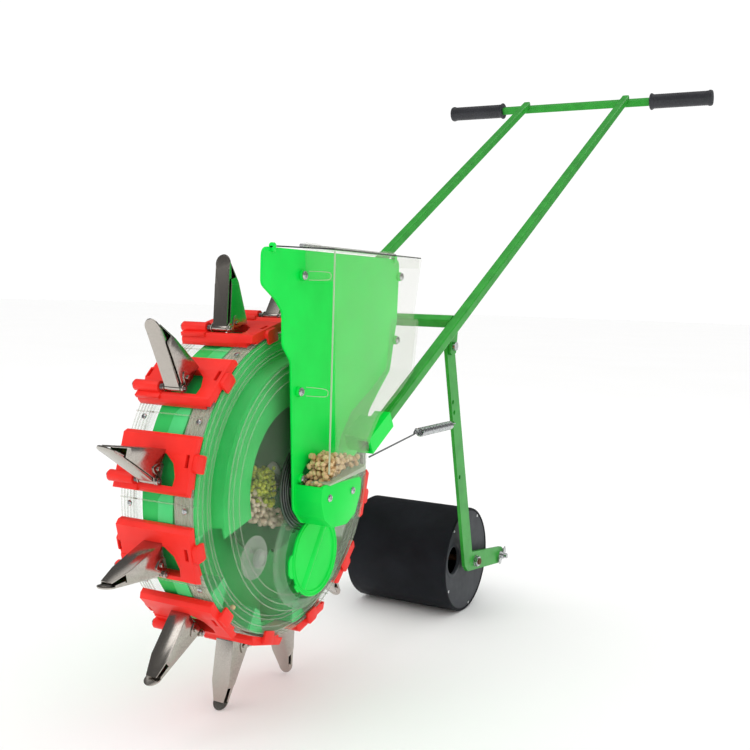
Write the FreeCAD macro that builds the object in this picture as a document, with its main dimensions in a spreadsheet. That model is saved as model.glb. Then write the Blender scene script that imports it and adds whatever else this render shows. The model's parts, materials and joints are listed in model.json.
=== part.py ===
"""Push seeder: a drum wheel with twelve dibber beaks, a seed hopper and a trailing press wheel.

Millimetres. +X points to the hopper side, +Y to the handlebar, +Z up. The origin lies on the
ground under the middle of the machine. Most pieces are drawn about their own axis and carried to
their place by their Placement.
"""
import FreeCAD, Part
import math
import os
import Sketcher

V = FreeCAD.Vector

SIZES = {
    # where things stand
    "axle_back": -463.77, "axle_height": 271.24, "slope": 29.2,
    # wheel drum
    "rim_radius": 184.7, "rim_half": 51.6, "dish_radius": 152, "dish_face": 70, "cover_wall": 2.5,
    "band_near": 21.5, "band_far": 23.5, "hub_radius": 46, "hub_bore": 40, "far_face": 66,
    "axle_radius": 8, "bore_radius": 8.06, "rotor_flange_outer": 148, "rotor_flange_inner": 98,
    "rotor_flange_face": 58, "metering_outer": 92, "metering_face": 25,
    # beaks
    "beak_count": 12, "beak_start": 15, "tip_radius": 280, "seat_width": 100, "tab_width": 114,
    "seat_top": 194.5, "pin_lead": 27, "pin_lift": 198.5, "pin_radius": 2,
    "pin_start": -57, "pin_long": 74, "seat_barrel": 6.5, "barrel_start": -53, "barrel_long": 35,
    "barrel_radius": 4.2, "beak_bore": 2.06, "beak_width": 20.4, "holder_width": 25,
    # cap and plug
    "cap_y": 14, "cap_z": -88.5, "cap_radius": 50, "cap_face": 80, "neck_radius": 40,
    "port_radius": 36, "plug_y": -94, "plug_z": -71, "plug_radius": 11,
    # hopper
    "plate_back": 82, "plate_face": 85, "box_face": 125, "box_wall": 2.5, "hopper_top": 277,
    "box_front": -34, "box_rear": 188, "bowl_face": 122, "bowl_wall": 3,
    "lid_front": -36, "lid_rear": 180, "lid_hinge": 282, "neck_outer": 37, "neck_inner": 34, "neck_end": 40,
    # frame
    "tube_side": 15, "tube_wall": 1.3, "tube_corner": 2.8, "bar_offset": 111.7,
    "bar_start": 95, "bar_splice": 671, "bar_top": 1358.5, "bar_rise": 3.5, "handle_run": 1351,
    "handle_rise": -4,
    "handle_half": 287, "grip_start": 166, "grip_end": 293, "grip_radius": 15, "flange_radius": 17.5,
    "cross_run": 390, "sleeve_start": 80, "sleeve_end": 140, "sleeve_side": 22, "socket_side": 15.2,
    # press wheel
    "pivot_y": 336, "pivot_z": 157.7, "roller_y": 461, "roller_radius": 82.5, "roller_half": 88,
    "arm_inner": 99, "arm_thick": 5, "arm_wide": 27, "corner_y": 432, "corner_z": -185,
    "tail_y": 569, "tail_z": -202, "bolt_radius": 5, "bush_bore": 5.06,
    # springs
    "spring_x": 108, "hole_y": 355, "hole_z": 41.7, "coil_front": 232, "coil_rear": 334,
    "coil_outer": 6.5, "coil_inner": 4.6, "hook_wire": 1.25, "anchor_y": 92, "anchor_z": 25,
}

doc = FreeCAD.newDocument("PushSeeder")
sheet = doc.addObject("Spreadsheet::Sheet", "sizes")
for row, (alias, number) in enumerate(SIZES.items(), start=1):
    sheet.set("A%d" % row, alias)
    sheet.set("B%d" % row, str(number))
    sheet.setAlias("B%d" % row, alias)
doc.recompute()


class Size:
    """A length that knows its value and the sheet formula that gives it."""

    def __init__(self, value, text):
        self.value = float(value)
        self.text = text

    def __add__(self, other):
        other = as_size(other)
        return Size(self.value + other.value, "(%s + %s)" % (self.text, other.text))

    def __sub__(self, other):
        other = as_size(other)
        return Size(self.value - other.value, "(%s - %s)" % (self.text, other.text))

    def __rsub__(self, other):
        return as_size(other) - self

    def __mul__(self, factor):
        factor = as_size(factor)
        return Size(self.value * factor.value, "(%s * %s)" % (self.text, factor.text))

    def __neg__(self):
        return Size(-self.value, "(0 - %s)" % self.text)

    __radd__ = __add__
    __rmul__ = __mul__


def as_size(number):
    if isinstance(number, Size):
        return number
    return Size(number, "%.4f" % number if number >= 0 else "(0 - %.4f)" % -number)


class Sheet:
    """The sheet's cells by name."""

    def __getattr__(self, alias):
        return Size(SIZES[alias], "sizes.%s" % alias)


S = Sheet()
UP_Y = Size(math.cos(math.radians(SIZES["slope"])), "cos(sizes.slope * 1 deg)")
UP_Z = Size(math.sin(math.radians(SIZES["slope"])), "sin(sizes.slope * 1 deg)")


# ---- drawing helpers -------------------------------------------------------------------------

def set_size(owner, name, length):
    length = as_size(length)
    setattr(owner, name, length.value)
    owner.setExpression(name, length.text)


def place(piece, x=0, y=0, z=0, axis=(1, 0, 0), angle=0, angle_text=None):
    """Put a piece at x, y, z, turned about an axis."""
    spots = [as_size(spot) for spot in (x, y, z)]
    piece.Placement = FreeCAD.Placement(V(*[spot.value for spot in spots]),
                                        FreeCAD.Rotation(V(*axis), angle))
    for letter, spot in zip("xyz", spots):
        piece.setExpression("Placement.Base.%s" % letter, spot.text)
    if angle_text:
        piece.setExpression("Placement.Rotation.Angle", angle_text)


def place_at_axle(piece, x=0, y=0, z=0, **turn):
    """Put a piece at a point given from the middle of the wheel."""
    place(piece, x, S.axle_back + y, S.axle_height + z, **turn)


def place_on_frame(piece, x, run, rise=0):
    """Stand a piece on the frame's sloping line, run from the axle and rise square to it."""
    y = UP_Y * run - UP_Z * rise
    z = UP_Z * run + UP_Y * rise
    place_at_axle(piece, x, y, z, axis=(-1, 0, 0), angle=90 - SIZES["slope"],
                  angle_text="90 deg - sizes.slope * 1 deg")


def new_body(label):
    body = doc.addObject("PartDesign::Body", label)
    body.Label = label
    body.AllowCompound = True
    return body


def origin_item(body, role):
    return [item for item in body.Origin.OriginFeatures if item.Role == role][0]


def draw(body, plane, outlines=(), circles=(), offset=0):
    """A sketch of closed outlines and circles on one of the body's planes."""
    sketch = body.newObject("Sketcher::SketchObject", "Sketch")
    sketch.AttachmentSupport = [(origin_item(body, plane), "")]
    sketch.MapMode = "FlatFace"
    offset = as_size(offset)
    sketch.AttachmentOffset = FreeCAD.Placement(V(0, 0, offset.value), FreeCAD.Rotation())
    sketch.setExpression("AttachmentOffset.Base.z", offset.text)
    for outline in outlines:
        draw_outline(sketch, outline)
    for across, along, radius in circles:
        draw_circle(sketch, across, along, radius)
    return sketch


def fix_point(sketch, edge, end, across, along):
    for kind, length in (("DistanceX", as_size(across)), ("DistanceY", as_size(along))):
        index = sketch.addConstraint(Sketcher.Constraint(kind, -1, 1, edge, end, length.value))
        sketch.setExpression("Constraints[%d]" % index, length.text)


def draw_outline(sketch, outline):
    points = [V(as_size(a).value, as_size(b).value, 0) for a, b in outline]
    first = sketch.GeometryCount
    count = len(points)
    for number in range(count):
        sketch.addGeometry(Part.LineSegment(points[number], points[(number + 1) % count]))
    for number in range(count):
        after = first + (number + 1) % count
        sketch.addConstraint(Sketcher.Constraint("Coincident", first + number, 2, after, 1))
    for number, (across, along) in enumerate(outline):
        fix_point(sketch, first + number, 1, across, along)


def draw_circle(sketch, across, along, radius):
    across, along, radius = as_size(across), as_size(along), as_size(radius)
    centre = V(across.value, along.value, 0)
    edge = sketch.addGeometry(Part.Circle(centre, V(0, 0, 1), radius.value))
    index = sketch.addConstraint(Sketcher.Constraint("Radius", edge, radius.value))
    sketch.setExpression("Constraints[%d]" % index, radius.text)
    fix_point(sketch, edge, 3, across, along)


def add_feature(body, kind, sketch, length, both_ways):
    feature = body.newObject("PartDesign::" + kind, kind)
    feature.Profile = sketch
    set_size(feature, "Length", length)
    if both_ways:
        feature.SideType = "Symmetric"
    body.Tip = feature
    doc.recompute()
    return feature


def pad(body, sketch, length, both_ways=False):
    return add_feature(body, "Pad", sketch, length, both_ways)


def cut(body, sketch, length):
    """A pocket that goes the same distance to both sides of its sketch."""
    before = body.Shape.Volume
    feature = add_feature(body, "Pocket", sketch, length, True)
    if not body.Shape.Volume < before - 0.01:
        raise ValueError("%s: a pocket removed nothing" % body.Label)
    return feature


def turned(body, outline):
    """Turn an outline of (x, radius) points about the X axis."""
    sketch = draw(body, "XY_Plane", [outline])
    feature = body.newObject("PartDesign::Revolution", "Revolution")
    feature.Profile = sketch
    feature.ReferenceAxis = (sketch, ["H_Axis"])
    feature.Angle = 360
    body.Tip = feature
    doc.recompute()
    return feature


def repeat_round(body, features, count):
    """Repeat features evenly about the X axis."""
    pattern = body.newObject("PartDesign::PolarPattern", "PolarPattern")
    pattern.Originals = features
    pattern.Axis = (origin_item(body, "X_Axis"), [""])
    pattern.Angle = 360
    pattern.Occurrences = count
    body.Tip = pattern
    doc.recompute()
    return pattern


def box_outline(low_a, high_a, low_b, high_b):
    return [(low_a, low_b), (high_a, low_b), (high_a, high_b), (low_a, high_b)]


def ring(label, start, end, inner, outer):
    """A plain ring about the X axis."""
    body = new_body(label)
    turned(body, box_outline(start, end, inner, outer))
    return body


def round_edges(body, edges, radius):
    """Round the edges that a test picks."""
    base = body.Tip
    names = ["Edge%d" % (n + 1) for n, edge in enumerate(base.Shape.Edges) if edges(edge)]
    feature = body.newObject("PartDesign::Fillet", "Fillet")
    feature.Base = (base, names)
    set_size(feature, "Radius", radius)
    body.Tip = feature
    doc.recompute()
    return feature


def along(edge, direction):
    """True for a straight edge that runs along a direction."""
    if len(edge.Vertexes) != 2 or edge.Curve.TypeId != "Part::GeomLine":
        return False
    return abs(abs(edge.Curve.Direction.dot(V(*direction))) - 1) < 1e-6


# ---- wheel drum ------------------------------------------------------------------------------

def drum_cover_near():
    """Clear dished cover of the hopper side, with the filling port's neck."""
    body = new_body("drum_cover_near")
    wall = S.cover_wall
    turned(body, [
        (S.band_near, S.rim_radius - wall), (S.rim_half - wall, S.rim_radius - wall),
        (S.rim_half - wall, S.dish_radius + 3.5), (S.dish_face - wall, S.dish_radius - 3),
        (S.dish_face - wall, S.hub_bore), (S.dish_face + 3, S.hub_bore),
        (S.dish_face + 3, S.hub_radius), (S.dish_face, S.hub_radius + 3),
        (S.dish_face, S.dish_radius), (S.rim_half, S.dish_radius + 6),
        (S.rim_half, S.rim_radius - 2), (S.rim_half - 2, S.rim_radius), (S.band_near, S.rim_radius)])
    neck = draw(body, "YZ_Plane", circles=[(S.cap_y, S.cap_z, S.neck_radius)],
                offset=S.dish_face - wall)
    pad(body, neck, S.cap_face - S.dish_face - 1.5)
    port = draw(body, "YZ_Plane", circles=[(S.cap_y, S.cap_z, S.port_radius)], offset=S.dish_face)
    cut(body, port, 30)
    place_at_axle(body)


def drum_cover_far():
    """Clear dished cover of the other side, closed down to its bearing."""
    body = new_body("drum_cover_far")
    wall = S.cover_wall
    turned(body, [
        (-S.band_far, S.rim_radius - wall), (wall - S.rim_half, S.rim_radius - wall),
        (wall - S.rim_half, S.dish_radius + 3.5), (wall - S.far_face, S.dish_radius - 3),
        (wall - S.far_face, 22), (-S.far_face - 4, 22), (-S.far_face - 4, 30), (-S.far_face, 33),
        (-S.far_face, S.dish_radius), (-S.rim_half, S.dish_radius + 6),
        (-S.rim_half, S.rim_radius - 2), (2 - S.rim_half, S.rim_radius),
        (-S.band_far, S.rim_radius)])
    place_at_axle(body)


def seed_rotor():
    """Green inner drum: tread band, web, twelve dividers and the open ring behind the dish."""
    body = new_body("seed_rotor")
    turned(body, [
        (-5, 22), (-5, 178), (-S.band_far, 178), (-S.band_far, S.rim_radius - 0.4),
        (S.band_near, S.rim_radius - 0.4), (S.band_near, 178), (-2, 178), (-2, 26), (20, 26),
        (20, 22)])
    turned(body, box_outline(S.rotor_flange_face - 2.5, S.rotor_flange_face,
                             S.rotor_flange_inner, S.rotor_flange_outer))
    below = [(0, 0), (-160, -46), (-160, -160), (160, -160), (160, -58)]
    cut(body, draw(body, "YZ_Plane", [below], offset=S.rotor_flange_face - 1), 8)
    divider = pad(body, draw(body, "YZ_Plane", [box_outline(-1.5, 1.5, 102, 147)], offset=-3),
                  S.rotor_flange_face + 1)
    repeat_round(body, [divider], 12)
    place_at_axle(body)


def metering_disc():
    """Translucent seed wheel with twelve notches, on the rotor's hub."""
    body = new_body("metering_disc")
    turned(body, box_outline(S.metering_face - 5, S.metering_face - 1, 22, S.metering_outer))
    notch = cut(body, draw(body, "YZ_Plane", circles=[(0, S.metering_outer, 6)],
                           offset=S.metering_face - 3), 10)
    repeat_round(body, [notch], 12)
    place_at_axle(body)


def drum_screws():
    """Screw heads on both edges of the tread, midway between the seats."""
    body = new_body("drum_screws")
    heads = draw(body, "XY_Plane", circles=[(38, 0, 3.2), (-38, 0, 3.2)], offset=S.rim_radius)
    repeat_round(body, [pad(body, heads, 1.8)], 12)
    place_at_axle(body)


def filler_cap():
    """Green twist cap: disc, raised edge, grip ridge, finger tab and plug skirt."""
    body = new_body("filler_cap")
    turned(body, [
        (S.dish_face + 1, 31), (S.dish_face + 1, S.port_radius - 0.3),
        (S.cap_face - 3.2, S.port_radius - 0.3), (S.cap_face - 3.2, S.cap_radius - 1),
        (S.cap_face - 2.2, S.cap_radius), (S.cap_face, S.cap_radius), (S.cap_face, S.cap_radius - 4),
        (S.cap_face - 1.2, S.cap_radius - 5), (S.cap_face - 1.2, 0), (S.cap_face - 3.2, 0),
        (S.cap_face - 3.2, 31)])
    ridge = draw(body, "YZ_Plane", [box_outline(-3, 3, -44, 44)], offset=S.cap_face - 2)
    pad(body, ridge, 2)
    tab = draw(body, "YZ_Plane", [[(-6, -55), (6, -55), (8, -47), (-8, -47)]],
               offset=S.cap_face - 3.2)
    pad(body, tab, 3.2)
    place_at_axle(body, 0, S.cap_y, S.cap_z)


def drain_plug():
    """Small clear screw plug on the dish."""
    body = new_body("drain_plug")
    turned(body, [(S.dish_face + 0.02, 0), (S.dish_face + 0.02, S.plug_radius),
                  (S.dish_face + 5, S.plug_radius), (S.dish_face + 6.5, S.plug_radius - 2),
                  (S.dish_face + 6.5, 0)])
    place_at_axle(body, 0, S.plug_y, S.plug_z)


# ---- beaks -----------------------------------------------------------------------------------

def place_beak(body, number):
    turn = SIZES["beak_start"] + (number - 1) * 360 / SIZES["beak_count"]
    text = "sizes.beak_start * 1 deg + %d * 360 deg / sizes.beak_count" % (number - 1)
    place_at_axle(body, angle=turn, angle_text=text)


def beak_seats():
    """Red seats that clip over the rim: bevelled plate, window, two tabs and a hinge barrel."""
    body = new_body("beak_seats")
    top = S.seat_top
    side = draw(body, "YZ_Plane", [[
        (-39, top - 7), (-35, top), (22, top), (26, top - 5), (26, top - 14), (-39, top - 14)]])
    plate = pad(body, side, S.seat_width, both_ways=True)
    clips = draw(body, "YZ_Plane", [box_outline(-13, 7, top - 18.5, top - 1.5)])
    tabs = pad(body, clips, S.tab_width, both_ways=True)
    rim = draw(body, "YZ_Plane", circles=[(0, 0, S.rim_radius + 0.05)])
    saddle = cut(body, rim, S.rim_half * 2 + 0.8)
    barrel = pad(body, draw(body, "YZ_Plane", circles=[
        (-S.pin_lead, S.pin_lift, S.seat_barrel)], offset=S.barrel_start), S.barrel_long)
    bore = draw(body, "YZ_Plane", circles=[(-S.pin_lead, S.pin_lift, S.pin_radius)])
    eye = cut(body, bore, 130)
    window = draw(body, "XY_Plane", [[
        (-16, -30), (30, -30), (31, -20), (26, -6), (14, 4), (-16, 4)]], offset=top)
    opening = cut(body, window, 40)
    repeat_round(body, [plate, tabs, saddle, barrel, eye, opening], 12)
    place_beak(body, 1)


def fixed_beaks():
    """Fixed halves: folded steel triangles, open towards the moving half, that hold the pins."""
    body = new_body("fixed_beaks")
    low, apex = S.seat_top, S.tip_radius - 10
    shell = pad(body, draw(body, "YZ_Plane", [[
        (-31, low), (8, low), (8, low + 3.5), (-0.2, apex), (-4, apex), (-13, 235),
        (-24, 204), (-31, 204)]]), S.holder_width, both_ways=True)
    hollow = cut(body, draw(body, "YZ_Plane", [[
        (-40, low - 1), (6.4, low - 1), (6.4, low + 3.5), (-1.9, apex + 1), (-40, apex + 1)]]),
        S.holder_width - 3)
    corners = draw(body, "XZ_Plane", [
        [(7, apex + 1), (12.6, 250), (20, 250), (20, apex + 1)],
        [(-7, apex + 1), (-12.6, 250), (-20, 250), (-20, apex + 1)]])
    tip = cut(body, corners, 80)
    bore = draw(body, "YZ_Plane", circles=[(-S.pin_lead, S.pin_lift, S.pin_radius)])
    eye = cut(body, bore, 60)
    repeat_round(body, [shell, hollow, tip, eye], 12)
    place_beak(body, 1)


def moving_beak(number):
    """Moving half: a steel channel that hinges on its pin at the leading side of the seat."""
    body = new_body("moving_beak_%02d" % number)
    tip = S.tip_radius
    pad(body, draw(body, "YZ_Plane", [[
        (-30, S.seat_top + 2.5), (-18, S.seat_top + 2.5), (-5, 262), (-1.1, tip), (-3, tip)]]),
        S.beak_width, both_ways=True)
    cut(body, draw(body, "YZ_Plane", [[
        (-29.1, S.seat_top - 0.5), (20, S.seat_top - 0.5), (20, tip + 3), (-0.1, tip + 3)]]),
        S.beak_width - 3)
    cut(body, draw(body, "XZ_Plane", [
        [(5.5, tip + 2), (10.4, 268), (20, 268), (20, tip + 2)],
        [(-5.5, tip + 2), (-10.4, 268), (-20, 268), (-20, tip + 2)]]), 80)
    pad(body, draw(body, "YZ_Plane", circles=[(-S.pin_lead, S.pin_lift, S.barrel_radius - 0.5)]),
        S.beak_width + 0.4, both_ways=True)
    cut(body, draw(body, "YZ_Plane", circles=[(-S.pin_lead, S.pin_lift, S.beak_bore)]), 60)
    place_beak(body, number)


def hinge_pins():
    """Steel pins from the seats' barrels through both halves of the beaks."""
    body = new_body("hinge_pins")
    pins = draw(body, "YZ_Plane", circles=[(-S.pin_lead, S.pin_lift, S.pin_radius)],
                offset=S.pin_start)
    repeat_round(body, [pad(body, pins, S.pin_long)], 12)
    place_beak(body, 1)


# ---- hopper ----------------------------------------------------------------------------------

SCREW_SPOTS = [(-41, 248), (-44, 116), (-42.5, 24), (194.5, 232), (190.5, 160)]


def hopper_plate():
    """Green back plate with the feed neck that reaches into the drum."""
    body = new_body("hopper_plate")
    outline = [
        (-119, 240), (-119, 274), (-112, 277), (202, 277), (199, 195), (183, 128), (151, 100),
        (128, 78), (118, 40), (60, 4), (46, -22), (28, -43), (0, -50), (-28, -43), (-46, -22),
        (-50, 36), (-59, 150), (-75, 170), (-77, 205), (-88, 220), (-108, 230)]
    pad(body, draw(body, "YZ_Plane", [outline], offset=S.plate_back), S.plate_face - S.plate_back)
    pad(body, draw(body, "YZ_Plane", circles=[(0, 0, S.neck_outer)], offset=S.neck_end),
        S.plate_back + 1 - S.neck_end)
    cut(body, draw(body, "YZ_Plane", circles=[(0, 0, S.neck_inner)], offset=S.plate_back), 120)
    bosses = draw(body, "YZ_Plane", circles=[(y, z, 6.3) for y, z in SCREW_SPOTS],
                  offset=S.plate_face - 1)
    pad(body, bosses, 5)
    for front in (S.lid_front - 0.5, S.lid_rear + 7.5):
        knob = draw(body, "XZ_Plane", [[
            (82, 275), (S.plate_face, 275), (S.plate_face, S.hopper_top + 0.2),
            (89, S.hopper_top + 0.2), (89, S.lid_hinge + 5), (82, S.lid_hinge + 5)]],
            offset=-front)
        pad(body, knob, 7)
    pin = draw(body, "XZ_Plane", circles=[(S.plate_face, S.lid_hinge, 2)])
    cut(body, pin, 600)
    place_at_axle(body)


def hopper_bowl():
    """Green faceted bowl below the seed box, with the axle's boss."""
    body = new_body("hopper_bowl")
    wall = S.bowl_wall
    outer = [(-45, 9), (-45, -10), (-38, -30), (-20, -43), (14, -44.5), (34, -34), (45, -12),
             (45, 9)]
    inner = [(-42, 12), (-42, -10), (-35.5, -28), (-19, -40), (13, -41.5), (32, -32), (42, -11),
             (42, 12)]
    pad(body, draw(body, "YZ_Plane", [outer], offset=S.plate_face), S.bowl_face - S.plate_face)
    room = draw(body, "YZ_Plane", [inner], offset=S.plate_face)
    cut(body, room, (S.bowl_face - S.plate_face - wall) * 2)
    boss = draw(body, "YZ_Plane", circles=[(0, 0, 14)], offset=105)
    pad(body, boss, S.bowl_face - 105)
    cut(body, draw(body, "YZ_Plane", circles=[(0, 0, S.axle_radius)], offset=105), 28)
    above = draw(body, "YZ_Plane", [box_outline(-60, 60, 9, 60)], offset=S.plate_face)
    cut(body, above, 200)
    place_at_axle(body)


REAR_WALL = [(51, 18), (60, 51), (84, 79), (136, 105), (175, 131), (187, 209)]


def box_shape(inset):
    """Outline of the clear seed box, inset from its outside."""
    front = S.box_front + inset
    slope = [(y - inset * 1.1, z + inset * 0.8) for y, z in REAR_WALL]
    return [(front, 9)] + [(51 - inset, 9)] + slope + [(S.box_rear - inset, S.hopper_top)] + \
        [(front, S.hopper_top)]


def hopper_box():
    """Clear seed box: front, outer and rear walls; the green plate closes its fourth side."""
    body = new_body("hopper_box")
    pad(body, draw(body, "YZ_Plane", [box_shape(0)], offset=S.plate_face),
        S.box_face - S.plate_face)
    room = box_shape(SIZES["box_wall"])
    room[0] = (room[0][0], 0)
    room[1] = (room[1][0], 0)
    room[-1] = (room[-1][0], 300)
    room[-2] = (room[-2][0], 300)
    cut(body, draw(body, "YZ_Plane", [room], offset=S.plate_face),
        (S.box_face - S.plate_face - S.box_wall) * 2)
    place_at_axle(body)


def hopper_shelf():
    """Clear sloping shelf that leads the seed down to the bowl."""
    body = new_body("hopper_shelf")
    outline = [(-31, 12), (-29, 10), (45, 30), (51.6, 36), (51.6, 39), (44, 33)]
    pad(body, draw(body, "YZ_Plane", [outline], offset=S.plate_face + 18), 18)
    place_at_axle(body)


def hopper_screws():
    """Screws along the two long edges of the seed box, their heads outwards."""
    body = new_body("hopper_screws")
    pad(body, draw(body, "YZ_Plane", circles=[(y, z, 4.5) for y, z in SCREW_SPOTS],
                   offset=S.plate_face + 4), 3)
    place_at_axle(body)


def hopper_lid():
    """Clear lid with two hinge barrels along the plate's top."""
    body = new_body("hopper_lid")
    long = S.lid_rear - S.lid_front
    rear = -S.lid_rear
    pad(body, draw(body, "XZ_Plane", [box_outline(-0.8, 42, -4.4, -2.7)], offset=rear), long)
    pad(body, draw(body, "XZ_Plane", circles=[(0, 0, 4)], offset=rear), long)
    cut(body, draw(body, "XZ_Plane", circles=[(0, 0, 2.05)], offset=rear), 500)
    cut(body, draw(body, "XZ_Plane", [box_outline(-6, 3.4, -6, 6)], offset=rear + long * 0.5), 150)
    place_at_axle(body, S.plate_face, 0, S.lid_hinge)


def lid_pin():
    """Steel pin of the lid."""
    body = new_body("lid_pin")
    pad(body, draw(body, "XZ_Plane", circles=[(0, 0, 2)], offset=-S.lid_rear - 8),
        S.lid_rear - S.lid_front + 16)
    place_at_axle(body, S.plate_face, 0, S.lid_hinge)


# ---- frame -----------------------------------------------------------------------------------

def square_tube(label, length):
    """Square steel tube that stands on the XY plane."""
    body = new_body(label)
    half = S.tube_side * 0.5
    hole = half - S.tube_wall
    pad(body, draw(body, "XY_Plane", [box_outline(-half, half, -half, half)]), length)
    round_edges(body, lambda edge: along(edge, (0, 0, 1)), S.tube_corner)
    pad_hole = draw(body, "XY_Plane", [box_outline(-hole, hole, -hole, hole)])
    cut(body, pad_hole, length * 2 + 2)
    return body


def cross_tube(label, half_length):
    """Square tube along X, square to the frame's slope once it is placed."""
    body = new_body(label)
    half = S.tube_side * 0.5
    hole = half - S.tube_wall
    pad(body, draw(body, "YZ_Plane", [box_outline(-half, half, -half, half)]), half_length * 2,
        both_ways=True)
    round_edges(body, lambda edge: along(edge, (1, 0, 0)), S.tube_corner)
    cut(body, draw(body, "YZ_Plane", [box_outline(-hole, hole, -hole, hole)]),
        half_length * 2 + 2)
    return body


def frame_tubes():
    """Two-part side bars, the handlebar they lap onto and the crossbar."""
    for side, sign in (("left", -1), ("right", 1)):
        lower = square_tube("bar_lower_" + side, S.bar_splice - S.bar_start - 0.1)
        place_on_frame(lower, S.bar_offset * sign, S.bar_start, S.bar_rise)
        upper = square_tube("bar_upper_" + side, S.bar_top - S.bar_splice)
        half = S.tube_side * 0.5
        seat = S.bar_rise - S.handle_rise - half
        lap = [box_outline(-9, 9, seat - 0.02, 9)]
        cut(upper, draw(upper, "XY_Plane", lap, offset=S.bar_top - S.bar_splice),
            S.tube_side * 2 + 0.04)
        place_on_frame(upper, S.bar_offset * sign, S.bar_splice, S.bar_rise)
    handle = cross_tube("handlebar", S.handle_half)
    place_on_frame(handle, 0, S.handle_run, S.handle_rise)
    cross = cross_tube("crossbar", S.bar_offset - S.tube_side * 0.5)
    place_on_frame(cross, 0, S.cross_run, S.bar_rise)


def splice_plugs():
    """Solid plugs inside the bars where their two lengths meet."""
    body = new_body("splice_plugs")
    inner = S.tube_side * 0.5 - S.tube_wall - 0.05
    for x in (S.bar_offset, -S.bar_offset):
        pad(body, draw(body, "XY_Plane", [box_outline(x - inner, x + inner, -inner, inner)]), 120,
            both_ways=True)
    place_on_frame(body, 0, S.bar_splice, S.bar_rise)


def grip(side, sign):
    """Black grip pushed over the handlebar's end."""
    body = new_body("grip_" + side)
    start, end, bulk, flange = S.grip_start, S.grip_end, S.grip_radius, S.flange_radius
    outline = [(start, 0), (start, flange), (start + 4, flange), (start + 7, bulk),
               (end - 9, bulk), (end - 6, flange - 1), (end - 2, flange - 1),
               (end, flange - 3), (end, 0)]
    turned(body, [(x * sign, radius) for x, radius in outline])
    half = S.socket_side * 0.5
    socket = draw(body, "YZ_Plane", [box_outline(-half, half, -half, half)])
    cut(body, socket, S.handle_half * 2 + 0.2)
    place_on_frame(body, 0, S.handle_run, S.handle_rise)


def bracket_sleeve(body):
    """Square sleeve round a bar's lower end, drawn along the sloping bar."""
    half = S.sleeve_side * 0.5
    hole = S.socket_side * 0.5
    drop = -S.bar_rise
    pad(body, draw(body, "XY_Plane", [box_outline(-half, half, drop - half, drop + half)],
                   offset=S.sleeve_start), S.sleeve_end - S.sleeve_start)
    cut(body, draw(body, "XY_Plane", [box_outline(-hole, hole, drop - hole, drop + hole)]), 2000)


def bracket_near():
    """Green moulded socket that carries the near bar on the hopper plate."""
    body = new_body("bracket_near")
    bracket_sleeve(body)
    inward = S.plate_face - S.bar_offset
    foot = draw(body, "XY_Plane", [box_outline(inward, 1 - S.sleeve_side * 0.5, -14, 8)],
                offset=S.sleeve_start + 4)
    pad(body, foot, 44)
    place_on_frame(body, S.bar_offset, 0)


def bracket_far():
    """Green moulded socket that carries the far bar on the axle."""
    body = new_body("bracket_far")
    bracket_sleeve(body)
    arm = draw(body, "XY_Plane", [box_outline(8.5, 16, -17, 13)])
    pad(body, arm, S.sleeve_end - 10)
    hub = draw(body, "YZ_Plane", circles=[(0, 0, 17)], offset=8.5)
    pad(body, hub, 30)
    cut(body, draw(body, "YZ_Plane", circles=[(0, 0, S.axle_radius)], offset=10), 120)
    place_on_frame(body, -S.bar_offset, 0)


def axle():
    body = new_body("axle")
    turned(body, box_outline(-112, 118.8, 0, S.axle_radius))
    place_at_axle(body)
    nut = new_body("axle_nut")
    corners = [(13 * math.cos(math.radians(60 * n)), 13 * math.sin(math.radians(60 * n)))
               for n in range(6)]
    pad(nut, draw(nut, "YZ_Plane", [corners], offset=-112), 8.2)
    cut(nut, draw(nut, "YZ_Plane", circles=[(0, 0, S.axle_radius)], offset=-108), 20)
    place_at_axle(nut)


def bearings():
    """Two plain bushings on which the drum turns round its axle."""
    body = new_body("axle_bearings")
    turned(body, box_outline(-5, 20, S.bore_radius, 22))
    turned(body, box_outline(-S.far_face - 5, 2 - S.far_face, S.bore_radius, 22))
    place_at_axle(body)


def pivot_lugs():
    """Steel lugs under the bars that carry the press wheel's arms."""
    body = new_body("pivot_lugs")
    side = S.arm_inner + S.arm_thick + 0.4
    for start in (side, -side - 4):
        outline = [(-10, -9), (-5, -13), (5, -13), (10, -9), (14, 26), (-10, 14)]
        pad(body, draw(body, "YZ_Plane", [outline], offset=start), 4)
    cut(body, draw(body, "YZ_Plane", circles=[(0, 0, 4)]), 240)
    place_at_axle(body, 0, S.pivot_y, S.pivot_z)


def pivot_bolts():
    """Two pivot bolts with heads outside the lugs."""
    body = new_body("pivot_bolts")
    inner = S.arm_inner
    turned(body, [(inner - 6, 0), (inner - 6, 6.5), (inner - 1, 6.5), (inner - 1, 4),
                  (inner + 9.5, 4), (inner + 9.5, 6.5), (inner + 14, 6.5), (inner + 14, 0)])
    turned(body, [(6 - inner, 0), (6 - inner, 6.5), (1 - inner, 6.5), (1 - inner, 4),
                  (-inner - 9.5, 4), (-inner - 9.5, 6.5), (-inner - 14, 6.5), (-inner - 14, 0)])
    place_at_axle(body, 0, S.pivot_y, S.pivot_z)


# ---- press wheel -----------------------------------------------------------------------------

ROLLER_DROP = Size(SIZES["roller_radius"] - SIZES["axle_height"],
                   "(sizes.roller_radius - sizes.axle_height)")


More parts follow.
